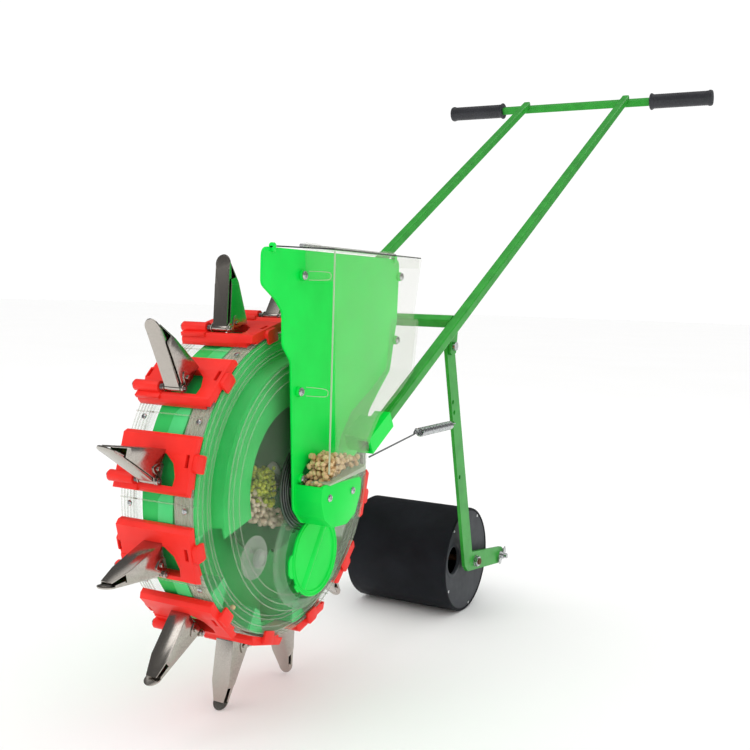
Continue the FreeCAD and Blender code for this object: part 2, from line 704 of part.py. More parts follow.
def press_arm(side, sign):
    """Flat L-shaped steel arm from the pivot down to the roller and back to the tie rod."""
    body = new_body("press_arm_" + side)
    start = S.arm_inner if sign > 0 else -S.arm_inner - S.arm_thick
    half = S.arm_wide * 0.5
    py, pz, cy, cz = S.pivot_y, S.pivot_z, S.corner_y, S.corner_z
    ty, tz = S.tail_y, S.tail_z
    outline = [
        (py - half, pz - 4), (py - half + 3, pz + 8), (py, pz + half), (py + half - 3, pz + 9),
        (py + half, pz - 2), (cy + half, cz + 14), (ty + 2, tz + 14), (ty + 12, tz + 8),
        (ty + 13, tz - 6), (ty + 4, tz - 13), (cy - 1, cz - 14), (cy - half, cz - 3)]
    pad(body, draw(body, "YZ_Plane", [outline], offset=start), S.arm_thick)
    holes = draw(body, "YZ_Plane", circles=[
        (py, pz, 4.05), (351, 74, 3.5), (357, 58, 3.5), (S.hole_y, S.hole_z, 3.5),
        (385, -43, 3.5), (S.roller_y, ROLLER_DROP, S.bolt_radius), (ty, tz, 4)], offset=start)
    cut(body, holes, 20)
    place_at_axle(body)


def roller_axle():
    """Bolt through both arms that carries the roller, with spacers beside the roller."""
    body = new_body("roller_axle")
    reach = S.arm_inner + S.arm_thick
    turned(body, box_outline(-reach - 8, reach + 8, 0, S.bolt_radius))
    place_at_axle(body, 0, S.roller_y, ROLLER_DROP)
    nuts = new_body("roller_nuts")
    turned(nuts, box_outline(reach, reach + 6, S.bolt_radius, 9))
    turned(nuts, box_outline(-reach - 6, -reach, S.bolt_radius, 9))
    place_at_axle(nuts, 0, S.roller_y, ROLLER_DROP)
    spacers = new_body("roller_spacers")
    turned(spacers, box_outline(S.roller_half + 1.5, S.arm_inner, S.bolt_radius, 9))
    turned(spacers, box_outline(-S.arm_inner, -S.roller_half - 1.5, S.bolt_radius, 9))
    place_at_axle(spacers, 0, S.roller_y, ROLLER_DROP)


def tie_rod():
    """Threaded rod that ties the arms' rear ends, with wing nuts outside."""
    body = new_body("tie_rod")
    reach = S.arm_inner + S.arm_thick
    turned(body, box_outline(-reach - 12, reach + 12, 0, 4))
    place_at_axle(body, 0, S.tail_y, S.tail_z)
    nuts = new_body("wing_nuts")
    for start, end in ((reach, reach + 7), (-reach - 7, -reach)):
        turned(nuts, box_outline(start, end, 4, 7))
    for start in (reach + 1, -reach - 6):
        pad(nuts, draw(nuts, "YZ_Plane", [box_outline(-1.5, 1.5, 6, 17),
                                          box_outline(-1.5, 1.5, -17, -6)], offset=start), 5)
    place_at_axle(nuts, 0, S.tail_y, S.tail_z)


def press_roller():
    """Black hollow roller with two end plates and bushings."""
    shell = ring("roller_shell", -S.roller_half, S.roller_half, S.roller_radius - 4,
                 S.roller_radius)
    place_at_axle(shell, 0, S.roller_y, ROLLER_DROP)
    for side, start in (("near", S.roller_half - 5), ("far", -S.roller_half + 1)):
        plate = ring("roller_end_" + side, start, start + 4, 12, S.roller_radius - 4)
        filler = draw(plate, "YZ_Plane", circles=[(-56 * 0.9, 10, 21)], offset=start)
        cut(plate, filler, 20)
        place_at_axle(plate, 0, S.roller_y, ROLLER_DROP)
    bushings = new_body("roller_bushings")
    turned(bushings, box_outline(S.roller_half - 12, S.roller_half + 1, S.bush_bore, 12))
    turned(bushings, box_outline(-S.roller_half - 1, 12 - S.roller_half, S.bush_bore, 12))
    place_at_axle(bushings, 0, S.roller_y, ROLLER_DROP)


# ---- springs ---------------------------------------------------------------------------------

def tension_springs():
    """Return springs: closed coils beside the arms, with a hook at the front."""
    body = new_body("tension_springs")
    for sign in (-1, 1):
        x = S.spring_x * sign
        coil = draw(body, "XZ_Plane", circles=[(x, S.hole_z, S.coil_outer)], offset=-S.coil_rear)
        pad(body, coil, S.coil_rear - S.coil_front)
    for sign in (-1, 1):
        x = S.spring_x * sign
        cut(body, draw(body, "XZ_Plane", circles=[(x, S.hole_z, S.coil_inner)],
                       offset=-S.coil_rear), (S.coil_rear - S.coil_front - 3) * 2)
    place_at_axle(body)


def spring_rods():
    """Stiff wires from the brackets to the springs."""
    body = new_body("spring_rods")
    run = math.hypot(SIZES["coil_front"] - SIZES["anchor_y"], SIZES["hole_z"] - SIZES["anchor_z"])
    lean = math.degrees(math.atan2(SIZES["hole_z"] - SIZES["anchor_z"],
                                   SIZES["coil_front"] - SIZES["anchor_y"]))
    wires = draw(body, "XY_Plane", circles=[(S.spring_x, 0, 1.5), (-S.spring_x, 0, 1.5)])
    pad(body, wires, run)
    place_at_axle(body, 0, S.anchor_y, S.anchor_z, axis=(-1, 0, 0), angle=90 - lean)


def spring_hooks():
    """Rear hooks of the springs, held in the arms' holes and loose inside the coils."""
    body = new_body("spring_hooks")
    for sign in (-1, 1):
        wire = draw(body, "XZ_Plane", circles=[(S.spring_x * sign, S.hole_z, S.hook_wire)],
                    offset=-S.hole_y)
        pad(body, wire, 34)
    start = S.arm_inner - 2
    for low in (start, -start - 12.2):
        pin = draw(body, "YZ_Plane", circles=[(S.hole_y, S.hole_z, S.hook_wire)], offset=low)
        pad(body, pin, 12.2)
    place_at_axle(body)


# ---- build and write -------------------------------------------------------------------------

def build():
    drum_cover_near()
    drum_cover_far()
    seed_rotor()
    metering_disc()
    drum_screws()
    filler_cap()
    drain_plug()
    for number in range(1, SIZES["beak_count"] + 1):
        moving_beak(number)
    beak_seats()
    fixed_beaks()
    hinge_pins()
    hopper_plate()
    hopper_bowl()
    hopper_box()
    hopper_shelf()
    hopper_screws()
    hopper_lid()
    lid_pin()
    frame_tubes()
    splice_plugs()
    grip("right", 1)
    grip("left", -1)
    bracket_near()
    bracket_far()
    axle()
    bearings()
    pivot_lugs()
    pivot_bolts()
    press_arm("left", -1)
    press_arm("right", 1)
    roller_axle()
    tie_rod()
    press_roller()
    tension_springs()
    spring_rods()
    spring_hooks()


def write():
    doc.recompute()
    for item in doc.Objects:
        if "Invalid" in item.State or "Error" in item.State:
            raise ValueError("%s failed: %s" % (item.Label, item.State))
    nodes = [item for item in doc.Objects if item.TypeId == "PartDesign::Body"]
    for node in nodes:
        if node.Shape.isNull() or not node.Shape.isValid():
            raise ValueError("%s has no valid shape" % node.Label)
    os.makedirs("parts", exist_ok=True)
    whole = FreeCAD.BoundBox()
    for node in nodes:
        node.Shape.exportStep("parts/%s.step" % node.Label)
        whole.add(node.Shape.BoundBox)
        print(node.Label, len(node.Shape.Solids), "solids, volume", round(node.Shape.Volume))
    print(len(nodes), "nodes", whole)


build()
write()
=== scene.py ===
import bmesh
import bpy
import json
import math
from mathutils import Matrix, Vector


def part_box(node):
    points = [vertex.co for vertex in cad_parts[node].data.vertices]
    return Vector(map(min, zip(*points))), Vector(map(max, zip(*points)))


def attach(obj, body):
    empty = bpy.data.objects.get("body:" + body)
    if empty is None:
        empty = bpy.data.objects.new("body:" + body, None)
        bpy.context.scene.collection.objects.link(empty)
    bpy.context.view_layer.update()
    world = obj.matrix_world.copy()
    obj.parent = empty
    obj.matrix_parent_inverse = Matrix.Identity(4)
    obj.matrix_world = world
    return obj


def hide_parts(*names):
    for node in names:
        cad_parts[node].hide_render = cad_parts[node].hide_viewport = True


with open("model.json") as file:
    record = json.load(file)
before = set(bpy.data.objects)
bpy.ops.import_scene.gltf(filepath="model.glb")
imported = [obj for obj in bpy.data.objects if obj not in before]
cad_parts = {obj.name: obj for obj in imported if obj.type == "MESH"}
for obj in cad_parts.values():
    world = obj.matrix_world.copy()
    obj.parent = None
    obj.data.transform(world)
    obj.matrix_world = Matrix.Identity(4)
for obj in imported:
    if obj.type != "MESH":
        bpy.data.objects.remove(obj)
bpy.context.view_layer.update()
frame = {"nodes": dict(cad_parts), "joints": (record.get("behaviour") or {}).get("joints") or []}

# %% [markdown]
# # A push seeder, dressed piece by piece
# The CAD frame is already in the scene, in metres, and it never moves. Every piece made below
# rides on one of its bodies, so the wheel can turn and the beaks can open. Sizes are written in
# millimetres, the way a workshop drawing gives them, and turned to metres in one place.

JOINTS = {joint["name"]: joint for joint in frame["joints"]}
AXLE = Vector(JOINTS["wheel_spin"]["pos_m"])
ROLLER = Vector(JOINTS["roller_spin"]["pos_m"])
MM = 0.001


def at_axle(x, y, z):
    """A point given in millimetres from the middle of the wheel."""
    return AXLE + Vector((x, y, z)) * MM


# %% [markdown]
# ## Colours and materials
# Colours are picked as sRGB hex values. Shaders work in linear light, so one function converts
# them. A second small function adds a shader node with its settings and its links, and every
# material below is built from it.

# %% colour and node helpers
def linear(code, alpha=1.0):
    """An sRGB hex colour as linear light."""
    parts = [int(code[n:n + 2], 16) / 255 for n in (0, 2, 4)]
    return [p / 12.92 if p < 0.04045 else ((p + 0.055) / 1.055) ** 2.4 for p in parts] + [alpha]


def add(tree, kind, settings=None, inputs=None, links=None, stops=()):
    """Add a node: settings are its own values, inputs its sockets, links the wires into it and
    stops the (position, colour) pairs of a colour ramp."""
    node = tree.nodes.new(kind)
    for name, value in (settings or {}).items():
        setattr(node, name, value)
    for name, value in (inputs or {}).items():
        node.inputs[name].default_value = value
    for name, source in (links or {}).items():
        tree.links.new(source, node.inputs[name])
    for number, (position, colour) in enumerate(stops):
        band = node.color_ramp.elements
        element = band[number] if number < len(band) else band.new(position)
        element.position, element.color = position, colour
    return node


def new_material(name):
    """An empty material, its tree and the place on the piece, in Object coordinates."""
    material = bpy.data.materials.new(name)
    material.use_nodes = True
    tree = material.node_tree
    tree.nodes.clear()
    place = add(tree, "ShaderNodeTexCoord").outputs["Object"]
    return material, tree, place


def per_metre(size_mm):
    """The scale of a texture whose blotches are about size_mm across."""
    return 1 / (size_mm * MM)


# %% [markdown]
# A real surface is never one flat colour. On most finishes three things vary, each at its own
# size: the tint, the gloss and the relief. One could paint maps for them, but noise in Object
# coordinates needs no unwrapping and no image, and its size is known in millimetres. So one
# recipe drives all three, and each kind of finish below gives it other sizes and limits.

# %% the common recipe
def surface(name, tint, gloss, relief, stretch=(1, 1, 1), fixed=None):
    """A finish made of three noises. Each argument starts with a blotch size in mm and a detail:
    tint goes on with ramp stops, gloss with two roughnesses, relief with a strength and a depth
    in mm. Gives the material, its tree and its shader."""
    material, tree, place = new_material(name)
    along = add(tree, "ShaderNodeMapping", inputs={"Scale": stretch}, links={"Vector": place})
    cloud, haze, grain = [
        add(tree, "ShaderNodeTexNoise", inputs={"Scale": per_metre(size), "Detail": detail},
            links={"Vector": along.outputs["Vector"]}).outputs["Fac"]
        for size, detail in (tint[:2], gloss[:2], relief[:2])]
    colour = add(tree, "ShaderNodeValToRGB", links={"Fac": cloud}, stops=tint[2])
    shine = add(tree, "ShaderNodeMapRange", inputs={"To Min": gloss[2], "To Max": gloss[3]},
                links={"Value": haze})
    skin = add(tree, "ShaderNodeBump", links={"Height": grain},
               inputs={"Strength": relief[2], "Distance": relief[3] * MM})
    shader = add(tree, "ShaderNodeBsdfPrincipled", inputs=fixed, links={
        "Base Color": colour.outputs["Color"], "Roughness": shine.outputs["Result"],
        "Normal": skin.outputs["Normal"]})
    add(tree, "ShaderNodeOutputMaterial", links={"Surface": shader.outputs["BSDF"]})
    print("finish", name)
    return material, tree, shader


# %% [markdown]
# Moulded plastic is smooth but never perfect: it carries a faint orange peel from the tool, a
# little dust and slightly uneven gloss. The same recipe gives the green hopper parts, the red
# seats, the white nylon and the black roller, each with its own colours and grain.

# %% moulded plastics
def moulded(name, base, shade, grain_mm, low, high, depth_mm=0.05, specular=0.5):
    stops = [(0.3, linear(base)), (0.75, linear(shade))]
    return surface(name, (45, 3, stops), (12, 3, low, high), (grain_mm, 2, 0.35, depth_mm),
                   fixed={"Specular IOR Level": specular})[0]


# Injection-moulded polypropylene, bright green: glossy, slightly waxy.
GREEN = moulded("green_polypropylene", "05E84E", "04DC48", 1.6, 0.26, 0.42, 0.05, 0.2)
# The same green seen through the drum's clear wall, made a shade deeper: painted shade.
SHADED_ROTOR_GREEN = moulded("green_rotor_painted_shade", "30CC62", "20B850", 2.0, 0.3, 0.5, 0.05, 0.25)
# Painted shade: a dark green that stands for the shadow deep inside the drum, on the seed wheel and
# on a disc in the rotor's hollow.
SHADE_GREEN = moulded("dark_green_painted_shade", "0C8434", "0A6C2A", 2.0, 0.4, 0.6, 0.05, 0.15)
# Pale translucent green scoops inside the drum.
PALE_GREEN = moulded("pale_green_plastic", "4EDC80", "3CCC6E", 2.0, 0.3, 0.45, 0.05, 0.3)
# Red ABS seats: semi-gloss with a fine tool grain.
RED = moulded("red_abs", "FC3026", "EC261E", 1.2, 0.3, 0.46, 0.05, 0.25)
# Natural nylon: white, dull.
NYLON = moulded("natural_nylon", "D9D8CC", "CBC9BC", 1.5, 0.4, 0.6)
# Rotationally moulded polyethylene of the roller: black, matt, scuffed.
POLYETHYLENE = moulded("black_polyethylene", "101217", "191C22", 3.0, 0.5, 0.7, 0.12, 0.15)
# The roller's flat ends, cut from a greyer sheet.
END_SHEET = moulded("grey_polyethylene", "34363B", "3F4247", 3.0, 0.45, 0.65, 0.1, 0.3)
# Vinyl hand grips.
VINYL = moulded("black_vinyl", "1E1F24", "2C2D33", 0.9, 0.36, 0.5, 0.1)


# %% [markdown]
# Clear polycarbonate is hard to see face on and shows strongly where a wall is seen edge on.
# A Principled shader with a low alpha that rises with the Layer Weight gives just that, with
# no refraction noise.

# %% clear plastics
def clear_plastic(name, colour, face, edge, rough):
    """A finish that covers by the share face where it is looked at squarely and edge at a slant."""
    stops = [(0.2, linear(colour)), (0.9, linear("C8CEBC"))]
    material, tree, shader = surface(name, (30, 3, stops), (9, 3, rough, rough + 0.12),
                                     (14, 2, 0.3, 0.2))
    slant = add(tree, "ShaderNodeLayerWeight", inputs={"Blend": 0.35}).outputs["Facing"]
    cover = add(tree, "ShaderNodeMapRange", inputs={"To Min": face, "To Max": edge},
                links={"Value": slant}).outputs["Result"]
    tree.links.new(cover, shader.inputs["Alpha"])
    return material


# Drum covers: thin, glossy, faintly grey-green.
CLEAR = clear_plastic("clear_polycarbonate", "AEBAA6", 0.01, 0.16, 0.06)
# Hopper walls: a touch milkier, as polystyrene boxes are.
CLOUDY = clear_plastic("clear_polystyrene", "C9C6B0", 0.06, 0.22, 0.1)
# Thick moulded ribs and rims gather more light than the walls.
RIB = clear_plastic("clear_rib_edges", "B8BEAA", 0.12, 0.5, 0.1)
# Cut edges of the clear box, which look pale and nearly solid.
EDGE = clear_plastic("milky_cut_edge", "C2D2B4", 0.55, 0.85, 0.2)
# The green tinted collar round the filling port.
TINTED = clear_plastic("green_tinted_collar", "5CC884", 0.22, 0.6, 0.1)
# The grey boss and knob of the drain plug.
GREY_CLEAR = clear_plastic("grey_clear_plug", "9AA19A", 0.2, 0.6, 0.12)
# Milky tread beside the green band.
MILKY = clear_plastic("milky_tread", "E2DEC8", 0.5, 0.75, 0.15)


# %% [markdown]
# Metals. The beaks are pressed stainless sheet with a long rolled grain; screws and springs are
# bright zinc; the tubes are powder coated, a smooth paint with a fine orange peel and darker
# scuffs.

# %% metals and paint
def metal(name, base, shade, grain_mm, stretch, low, high):
    stops = [(0.3, linear(shade)), (0.7, linear(base))]
    return surface(name, (grain_mm, 4, stops), (grain_mm * 3, 3, low, high),
                   (grain_mm, 4, 0.3, 0.03), stretch, {"Metallic": 1.0})[0]


# Cold-rolled stainless: grey, brushed across the beak.
STAINLESS = metal("brushed_stainless", "C8C2BA", "A09992", 1.2, (6, 1, 1), 0.1, 0.26)
# Bright zinc plate on screws, nuts and springs.
ZINC = metal("zinc_plate", "DADCDD", "A9ABAD", 2.0, (1, 1, 1), 0.18, 0.34)
# Dull steel wire and axle.
STEEL = metal("drawn_steel", "9A9B9C", "6C6D6E", 1.5, (6, 1, 1), 0.28, 0.42)
# Bare bolt end gone brown with rust.
RUST = moulded("rusty_steel", "6B4322", "3F2817", 0.8, 0.6, 0.85, 0.2)


# %% [markdown]
# Powder coat is a thick baked paint. It hides the tube's own grain and leaves a fine orange peel,
# and where hands and straps rub it the colour goes a little darker.

# %% powder coat
def powder_coat(name, base, shade):
    stops = [(0.35, linear(base)), (0.8, linear(shade))]
    return surface(name, (22, 6, stops), (5, 3, 0.24, 0.4), (1.4, 2, 0.4, 0.05),
                   fixed={"Specular IOR Level": 0.3})[0]


# Green powder coat of bars, crossbar and arms.
COAT = powder_coat("green_powder_coat", "30A034", "228A28")


# %% [markdown]
# Seed: dried soya beans, tan and slightly uneven, and a handful of green mung beans in the drum.
# A cell pattern a little larger than one bean changes the tint from bean to bean.

# %% seed finishes
def seed_coat(name, light, dark):
    """The common recipe, with its tint taken from cells of the size of a bean."""
    stops = [(0.1, linear(dark)), (0.9, linear(light))]
    material, tree, shader = surface(name, (9, 3, stops), (3, 3, 0.35, 0.6), (1.5, 3, 0.4, 0.1))
    place = add(tree, "ShaderNodeTexCoord").outputs["Object"]
    cells = add(tree, "ShaderNodeTexVoronoi", inputs={"Scale": per_metre(9)},
                links={"Vector": place}).outputs["Color"]
    grey = add(tree, "ShaderNodeSeparateColor", links={"Color": cells}).outputs[0]
    colour = shader.inputs["Base Color"].links[0].from_node
    tree.links.new(grey, colour.inputs["Fac"])
    return material


TAN_SEED = seed_coat("soya_bean_coat", "E3C594", "BE9460")
# A paler copy of the soya colour, given to the beans in the drum.
PALE_SEED = seed_coat("pale_bean_coat", "E4D3BC", "C8B196")
GREEN_SEED = seed_coat("mung_bean_coat", "BCC038", "8E9A1C")

# %% [markdown]
# ## Making meshes
# Three ways of making a solid cover nearly every piece. `plate` cuts an outline with holes from
# sheet and rounds its edges; `lathe` turns a profile about the X axis, as every wheel piece is
# turned; `tube` sweeps a wire along points. Each gives a mesh that sits in its final place.

# %% finishing a mesh
def finished(name, mesh, material, body=None, nodes=(), smooth=35):
    """Give a mesh its material, smooth shading and the body it rides on."""
    mesh.name = name
    mesh.materials.clear()
    mesh.materials.append(material)
    piece = bpy.data.objects.new(name, mesh)
    bpy.context.scene.collection.objects.link(piece)
    for face in mesh.polygons:
        face.use_smooth = True
    mesh.set_sharp_from_angle(angle=math.radians(smooth))
    if body:
        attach(piece, body)
    if nodes:
        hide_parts(*nodes)
    print(name, len(mesh.polygons), "faces")
    return piece


def plain_mesh(source):
    """The evaluated mesh of a scratch object, which is then removed."""
    bpy.context.view_layer.update()
    graph = bpy.context.evaluated_depsgraph_get()
    mesh = bpy.data.meshes.new_from_object(source.evaluated_get(graph))
    bpy.data.objects.remove(source)
    return mesh


def from_faces(points, faces):
    mesh = bpy.data.meshes.new("raw")
    mesh.from_pydata([tuple(point) for point in points], [], faces)
    mesh.validate()
    return mesh


def joined(*meshes):
    """Several meshes as one."""
    points, faces = [], []
    for mesh in meshes:
        start = len(points)
        points += [vertex.co.copy() for vertex in mesh.vertices]
        faces += [[start + index for index in face.vertices] for face in mesh.polygons]
    return from_faces(points, faces)


def moved(mesh, matrix):
    copy = mesh.copy()
    copy.transform(matrix)
    return copy


# %% [markdown]
# Sheet parts are flat outlines with a thickness. A filled 2D curve with a small bevel gives the
# sheet, its holes and its rounded edges at once, with no boolean to go wrong.

# %% plates
def arc_points(centre, radius, start, end, count):
    """Points on an arc, angles in degrees."""
    steps = [start + (end - start) * n / count for n in range(count + 1)]
    return [(centre[0] + radius * math.cos(math.radians(a)),
             centre[1] + radius * math.sin(math.radians(a))) for a in steps]


def rounded(outline, radius, steps=5):
    """An outline with its corners rounded by up to a radius."""
    result = []
    count = len(outline)
    for n in range(count):
        corner = Vector(outline[n])
        before = Vector(outline[n - 1]) - corner
        after = Vector(outline[(n + 1) % count]) - corner
        half = before.angle(after) / 2
        reach = radius / max(math.tan(half), 0.05)
        reach = min(reach, before.length * 0.45, after.length * 0.45)
        first = corner + before.normalized() * reach
        last = corner + after.normalized() * reach
        for k in range(steps + 1):
            t = k / steps
            result.append(tuple(first * (1 - t) ** 2 + corner * 2 * t * (1 - t) + last * t * t))
    return result


def plate(outline, start, end, holes=(), edge=0.8, segments=2):
    """A sheet whose outline is drawn in (Y, Z) and which runs from start to end along X."""
    curve = bpy.data.curves.new("plate", "CURVE")
    curve.dimensions = "2D"
    curve.fill_mode = "BOTH"
    for loop in [outline, *holes]:
        spline = curve.splines.new("POLY")
        spline.points.add(len(loop) - 1)
        for point, (y, z) in zip(spline.points, loop):
            point.co = (y, z, 0, 1)
        spline.use_cyclic_u = True
    curve.offset = -edge
    curve.extrude = max((end - start) / 2 - edge, 0.001)
    curve.bevel_depth = edge
    curve.bevel_resolution = segments
    scratch = bpy.data.objects.new("plate", curve)
    bpy.context.scene.collection.objects.link(scratch)
    mesh = plain_mesh(scratch)
    turn = Matrix(((0, 0, 1, (start + end) / 2), (1, 0, 0, 0), (0, 1, 0, 0), (0, 0, 0, 1)))
    mesh.transform(turn)
    return mesh


# %% [markdown]
# Covers, rings, grips and the roller are round, so their section is drawn once and turned. The
# Screw modifier would do it too, but a short loop also gives part of a turn with closed ends.

# %% turned pieces
def lathe(profile, steps=96, start=0, end=360):
    """Turn a closed (x, radius) outline about the X axis."""
    whole = abs(end - start) >= 360
    rings = steps if whole else steps + 1
    points, faces = [], []
    for n in range(rings):
        angle = math.radians(start + (end - start) * n / steps)
        points += [(x, -radius * math.cos(angle), radius * math.sin(angle))
                   for x, radius in profile]
    count = len(profile)
    for n in range(steps):
        low, high = n * count, ((n + 1) % rings) * count
        for k in range(count):
            after = (k + 1) % count
            faces.append((low + k, low + after, high + after, high + k))
    if not whole:
        faces.append(tuple(range(count)))
        faces.append(tuple(reversed(range((rings - 1) * count, rings * count))))
    return outward(from_faces(points, faces))


def outward(mesh):
    """Merge doubles and turn every face outwards."""
    work = bmesh.new()
    work.from_mesh(mesh)
    bmesh.ops.remove_doubles(work, verts=work.verts, dist=1e-5)
    bmesh.ops.dissolve_degenerate(work, edges=work.edges, dist=1e-6)
    bmesh.ops.recalc_face_normals(work, faces=work.faces)
    work.to_mesh(mesh)
    work.free()
    return mesh


def ring_of(centre, width, radius, thick):
    """Profile of a ring with softened edges, centred along X at a radius."""
    x, c = centre, min(width, thick) * 0.22
    w, t = width / 2, thick / 2
    return [(x - w + c, radius - t), (x + w - c, radius - t), (x + w, radius - t + c),
            (x + w, radius + t - c), (x + w - c, radius + t), (x - w + c, radius + t),
            (x - w, radius + t - c), (x - w, radius - t + c)]


# %% [markdown]
# Springs, hooks and rods are round wire. A curve with a bevel follows the points of their centre
# line and keeps the same thickness all the way.

# %% swept wires
def tube(points, radius, resolution=6, closed=False, smooth=True):
    """A round wire through points."""
    curve = bpy.data.curves.new("wire", "CURVE")
    curve.dimensions = "3D"
    spline = curve.splines.new("NURBS" if smooth else "POLY")
    spline.points.add(len(points) - 1)
    for point, spot in zip(spline.points, points):
        point.co = (*spot, 1)
    spline.use_cyclic_u = closed
    if smooth:
        spline.order_u = 3
        spline.use_endpoint_u = not closed
        spline.resolution_u = 4
    curve.bevel_depth = radius
    curve.bevel_resolution = resolution // 2
    curve.use_fill_caps = not closed
    scratch = bpy.data.objects.new("wire", curve)
    bpy.context.scene.collection.objects.link(scratch)
    return plain_mesh(scratch)


# %% [markdown]
# Other parts are cut from blocks, as a milling machine would. Booleans take away and add, and a
# bevel modifier then rounds what is sharp, so that every edge catches a line of light.

# %% cutting and bevelling
def shaped(mesh, cutters=(), adders=(), edge=0.0, segments=2, angle=32):
    """Cut meshes away from a mesh, add others to it and round its sharp edges."""
    scratch = bpy.data.objects.new("work", mesh)
    bpy.context.scene.collection.objects.link(scratch)
    tools = []
    for operation, group in (("DIFFERENCE", cutters), ("UNION", adders)):
        for tool_mesh in group:
            tool = bpy.data.objects.new("tool", tool_mesh)
            bpy.context.scene.collection.objects.link(tool)
            tools.append(tool)
            modifier = scratch.modifiers.new("boolean", "BOOLEAN")
            modifier.operation = operation
            modifier.solver = "EXACT"
            modifier.object = tool
    if edge:
        modifier = scratch.modifiers.new("bevel", "BEVEL")
        modifier.width = edge
        modifier.segments = segments
        modifier.limit_method = "ANGLE"
        modifier.angle_limit = math.radians(angle)
        modifier.use_clamp_overlap = True
    result = plain_mesh(scratch)
    for tool in tools:
        bpy.data.objects.remove(tool)
    return result


def block(low, high):
    """A box mesh between two corners."""
    (a, b, c), (d, e, f) = low, high
    points = [(x, y, z) for x in (a, d) for y in (b, e) for z in (c, f)]
    faces = [(0, 1, 3, 2), (4, 6, 7, 5), (0, 4, 5, 1), (2, 3, 7, 6), (0, 2, 6, 4), (1, 5, 7, 3)]
    return outward(from_faces(points, faces))


def prism(outline, low, high, axis="X"):
    """A straight prism along X (outline in Y, Z), Y (X, Z) or Z (X, Y)."""
    order = {"X": lambda a, b, s: (s, a, b), "Y": lambda a, b, s: (a, s, b),
             "Z": lambda a, b, s: (a, b, s)}[axis]
    count = len(outline)
    points = [order(a, b, low) for a, b in outline] + [order(a, b, high) for a, b in outline]
    faces = [tuple(range(count)), tuple(range(count, 2 * count))]
    faces += [(n, (n + 1) % count, count + (n + 1) % count, count + n) for n in range(count)]
    return outward(from_faces(points, faces))


def rod(centre, radius, low, high, axis="X", sides=24):
    return prism(arc_points(centre, radius, 0, 360 - 360 / sides, sides - 1), low, high, axis)


# %% [markdown]
# ## Repeating a piece round the wheel
# Twelve seats, twelve fixed beak halves and dozens of screws repeat evenly round the axle. That
# is a rule, so a small Geometry Nodes tree does it: a line of points at the axle, one turned
# instance on each, realized and given its material. Its inputs are named for what they are.

# %% starting, ending and running a geometry node tree
def node_tree(name, **kinds):
    """A new tree with named inputs. Gives the tree, its inputs' identifiers and their sockets."""
    tree = bpy.data.node_groups.new(name, "GeometryNodeTree")
    face = tree.interface
    face.new_socket("Geometry", in_out="INPUT", socket_type="NodeSocketGeometry")
    labels = {label: face.new_socket(label, in_out="INPUT", socket_type="NodeSocket" + kind)
              for label, kind in kinds.items()}
    face.new_socket("Geometry", in_out="OUTPUT", socket_type="NodeSocketGeometry")
    identifiers = {label: socket.identifier for label, socket in labels.items()}
    return tree, identifiers, add(tree, "NodeGroupInput").outputs


def end_tree(tree, geometry, given):
    """Realize the instances, give them the finish and lead them out of the tree."""
    real = add(tree, "GeometryNodeRealizeInstances", links={"Geometry": geometry})
    dressed = add(tree, "GeometryNodeSetMaterial", links={
        "Geometry": real.outputs[0], "Material": given["Finish"]})
    add(tree, "NodeGroupOutput", links={0: dressed.outputs[0]})


def grown(tree, identifiers, host_mesh, piece_mesh=None, **values):
    """Run a tree on a mesh. A piece that the tree repeats is given as a mesh too."""
    host = bpy.data.objects.new("host", host_mesh)
    bpy.context.scene.collection.objects.link(host)
    if piece_mesh:
        values["Piece"] = bpy.data.objects.new("piece", piece_mesh)
        bpy.context.scene.collection.objects.link(values["Piece"])
    modifier = host.modifiers.new("tree", "NODES")
    modifier.node_group = tree
    for label, value in values.items():
        modifier[identifiers[label]] = value
    result = plain_mesh(host)
    if piece_mesh:
        bpy.data.objects.remove(values["Piece"])
    return result


# %% geometry nodes: copies round the axle
def round_tree():
    tree, identifiers, given = node_tree("copies round the axle", Piece="Object", Count="Int",
                                         Start="Float", Finish="Material")
    line = add(tree, "GeometryNodeMeshLine", inputs={"Offset": (0, 0, 0)},
               links={"Count": given["Count"]}).outputs["Mesh"]
    piece = add(tree, "GeometryNodeObjectInfo", links={"Object": given["Piece"]})
    index = add(tree, "GeometryNodeInputIndex").outputs[0]
    part = add(tree, "ShaderNodeMath", {"operation": "DIVIDE"},
               links={0: index, 1: given["Count"]}).outputs[0]
    turn = add(tree, "ShaderNodeMath", {"operation": "MULTIPLY_ADD"}, {1: math.tau},
               {0: part, 2: given["Start"]}).outputs[0]
    spin = add(tree, "ShaderNodeCombineXYZ", links={"X": turn}).outputs[0]
    spread = add(tree, "GeometryNodeInstanceOnPoints", links={
        "Points": line, "Instance": piece.outputs["Geometry"], "Rotation": spin})
    end_tree(tree, spread.outputs[0], given)
    return tree, identifiers


ROUND_TREE, ROUND_INPUTS = round_tree()


def round_the_axle(mesh, count, start_deg, material):
    """A mesh repeated round the X axis, as one plain mesh still centred on the axle."""
    return grown(ROUND_TREE, ROUND_INPUTS, bpy.data.meshes.new("host"), mesh, Count=count,
                 Start=math.radians(start_deg), Finish=material)


def in_metres(mesh, centre=AXLE):
    """Scale a mesh drawn in millimetres about a centre to its place in metres."""
    mesh.transform(Matrix.Translation(centre) @ Matrix.Scale(MM, 4))
    return mesh


def wheel_piece(name, mesh, material, body="wheel", nodes=(), centre=AXLE, smooth=35):
    return finished(name, in_metres(mesh, centre), material, body, nodes, smooth)


# %% [markdown]
# ## The beak seats
# Each beak sits on a red moulded seat: a bevelled plate with a window, a slot and clip tabs that
# wrap the rim, and a barrel for the hinge pin. One seat is cut with booleans, bevelled, and
# repeated twelve times.

# %% seats
SEAT_TOP = 194.5
RIM = 184.95
BEAKS = 12
PIN_Y, PIN_Z = -27.0, 198.5
BEAK_TURN = 15.0


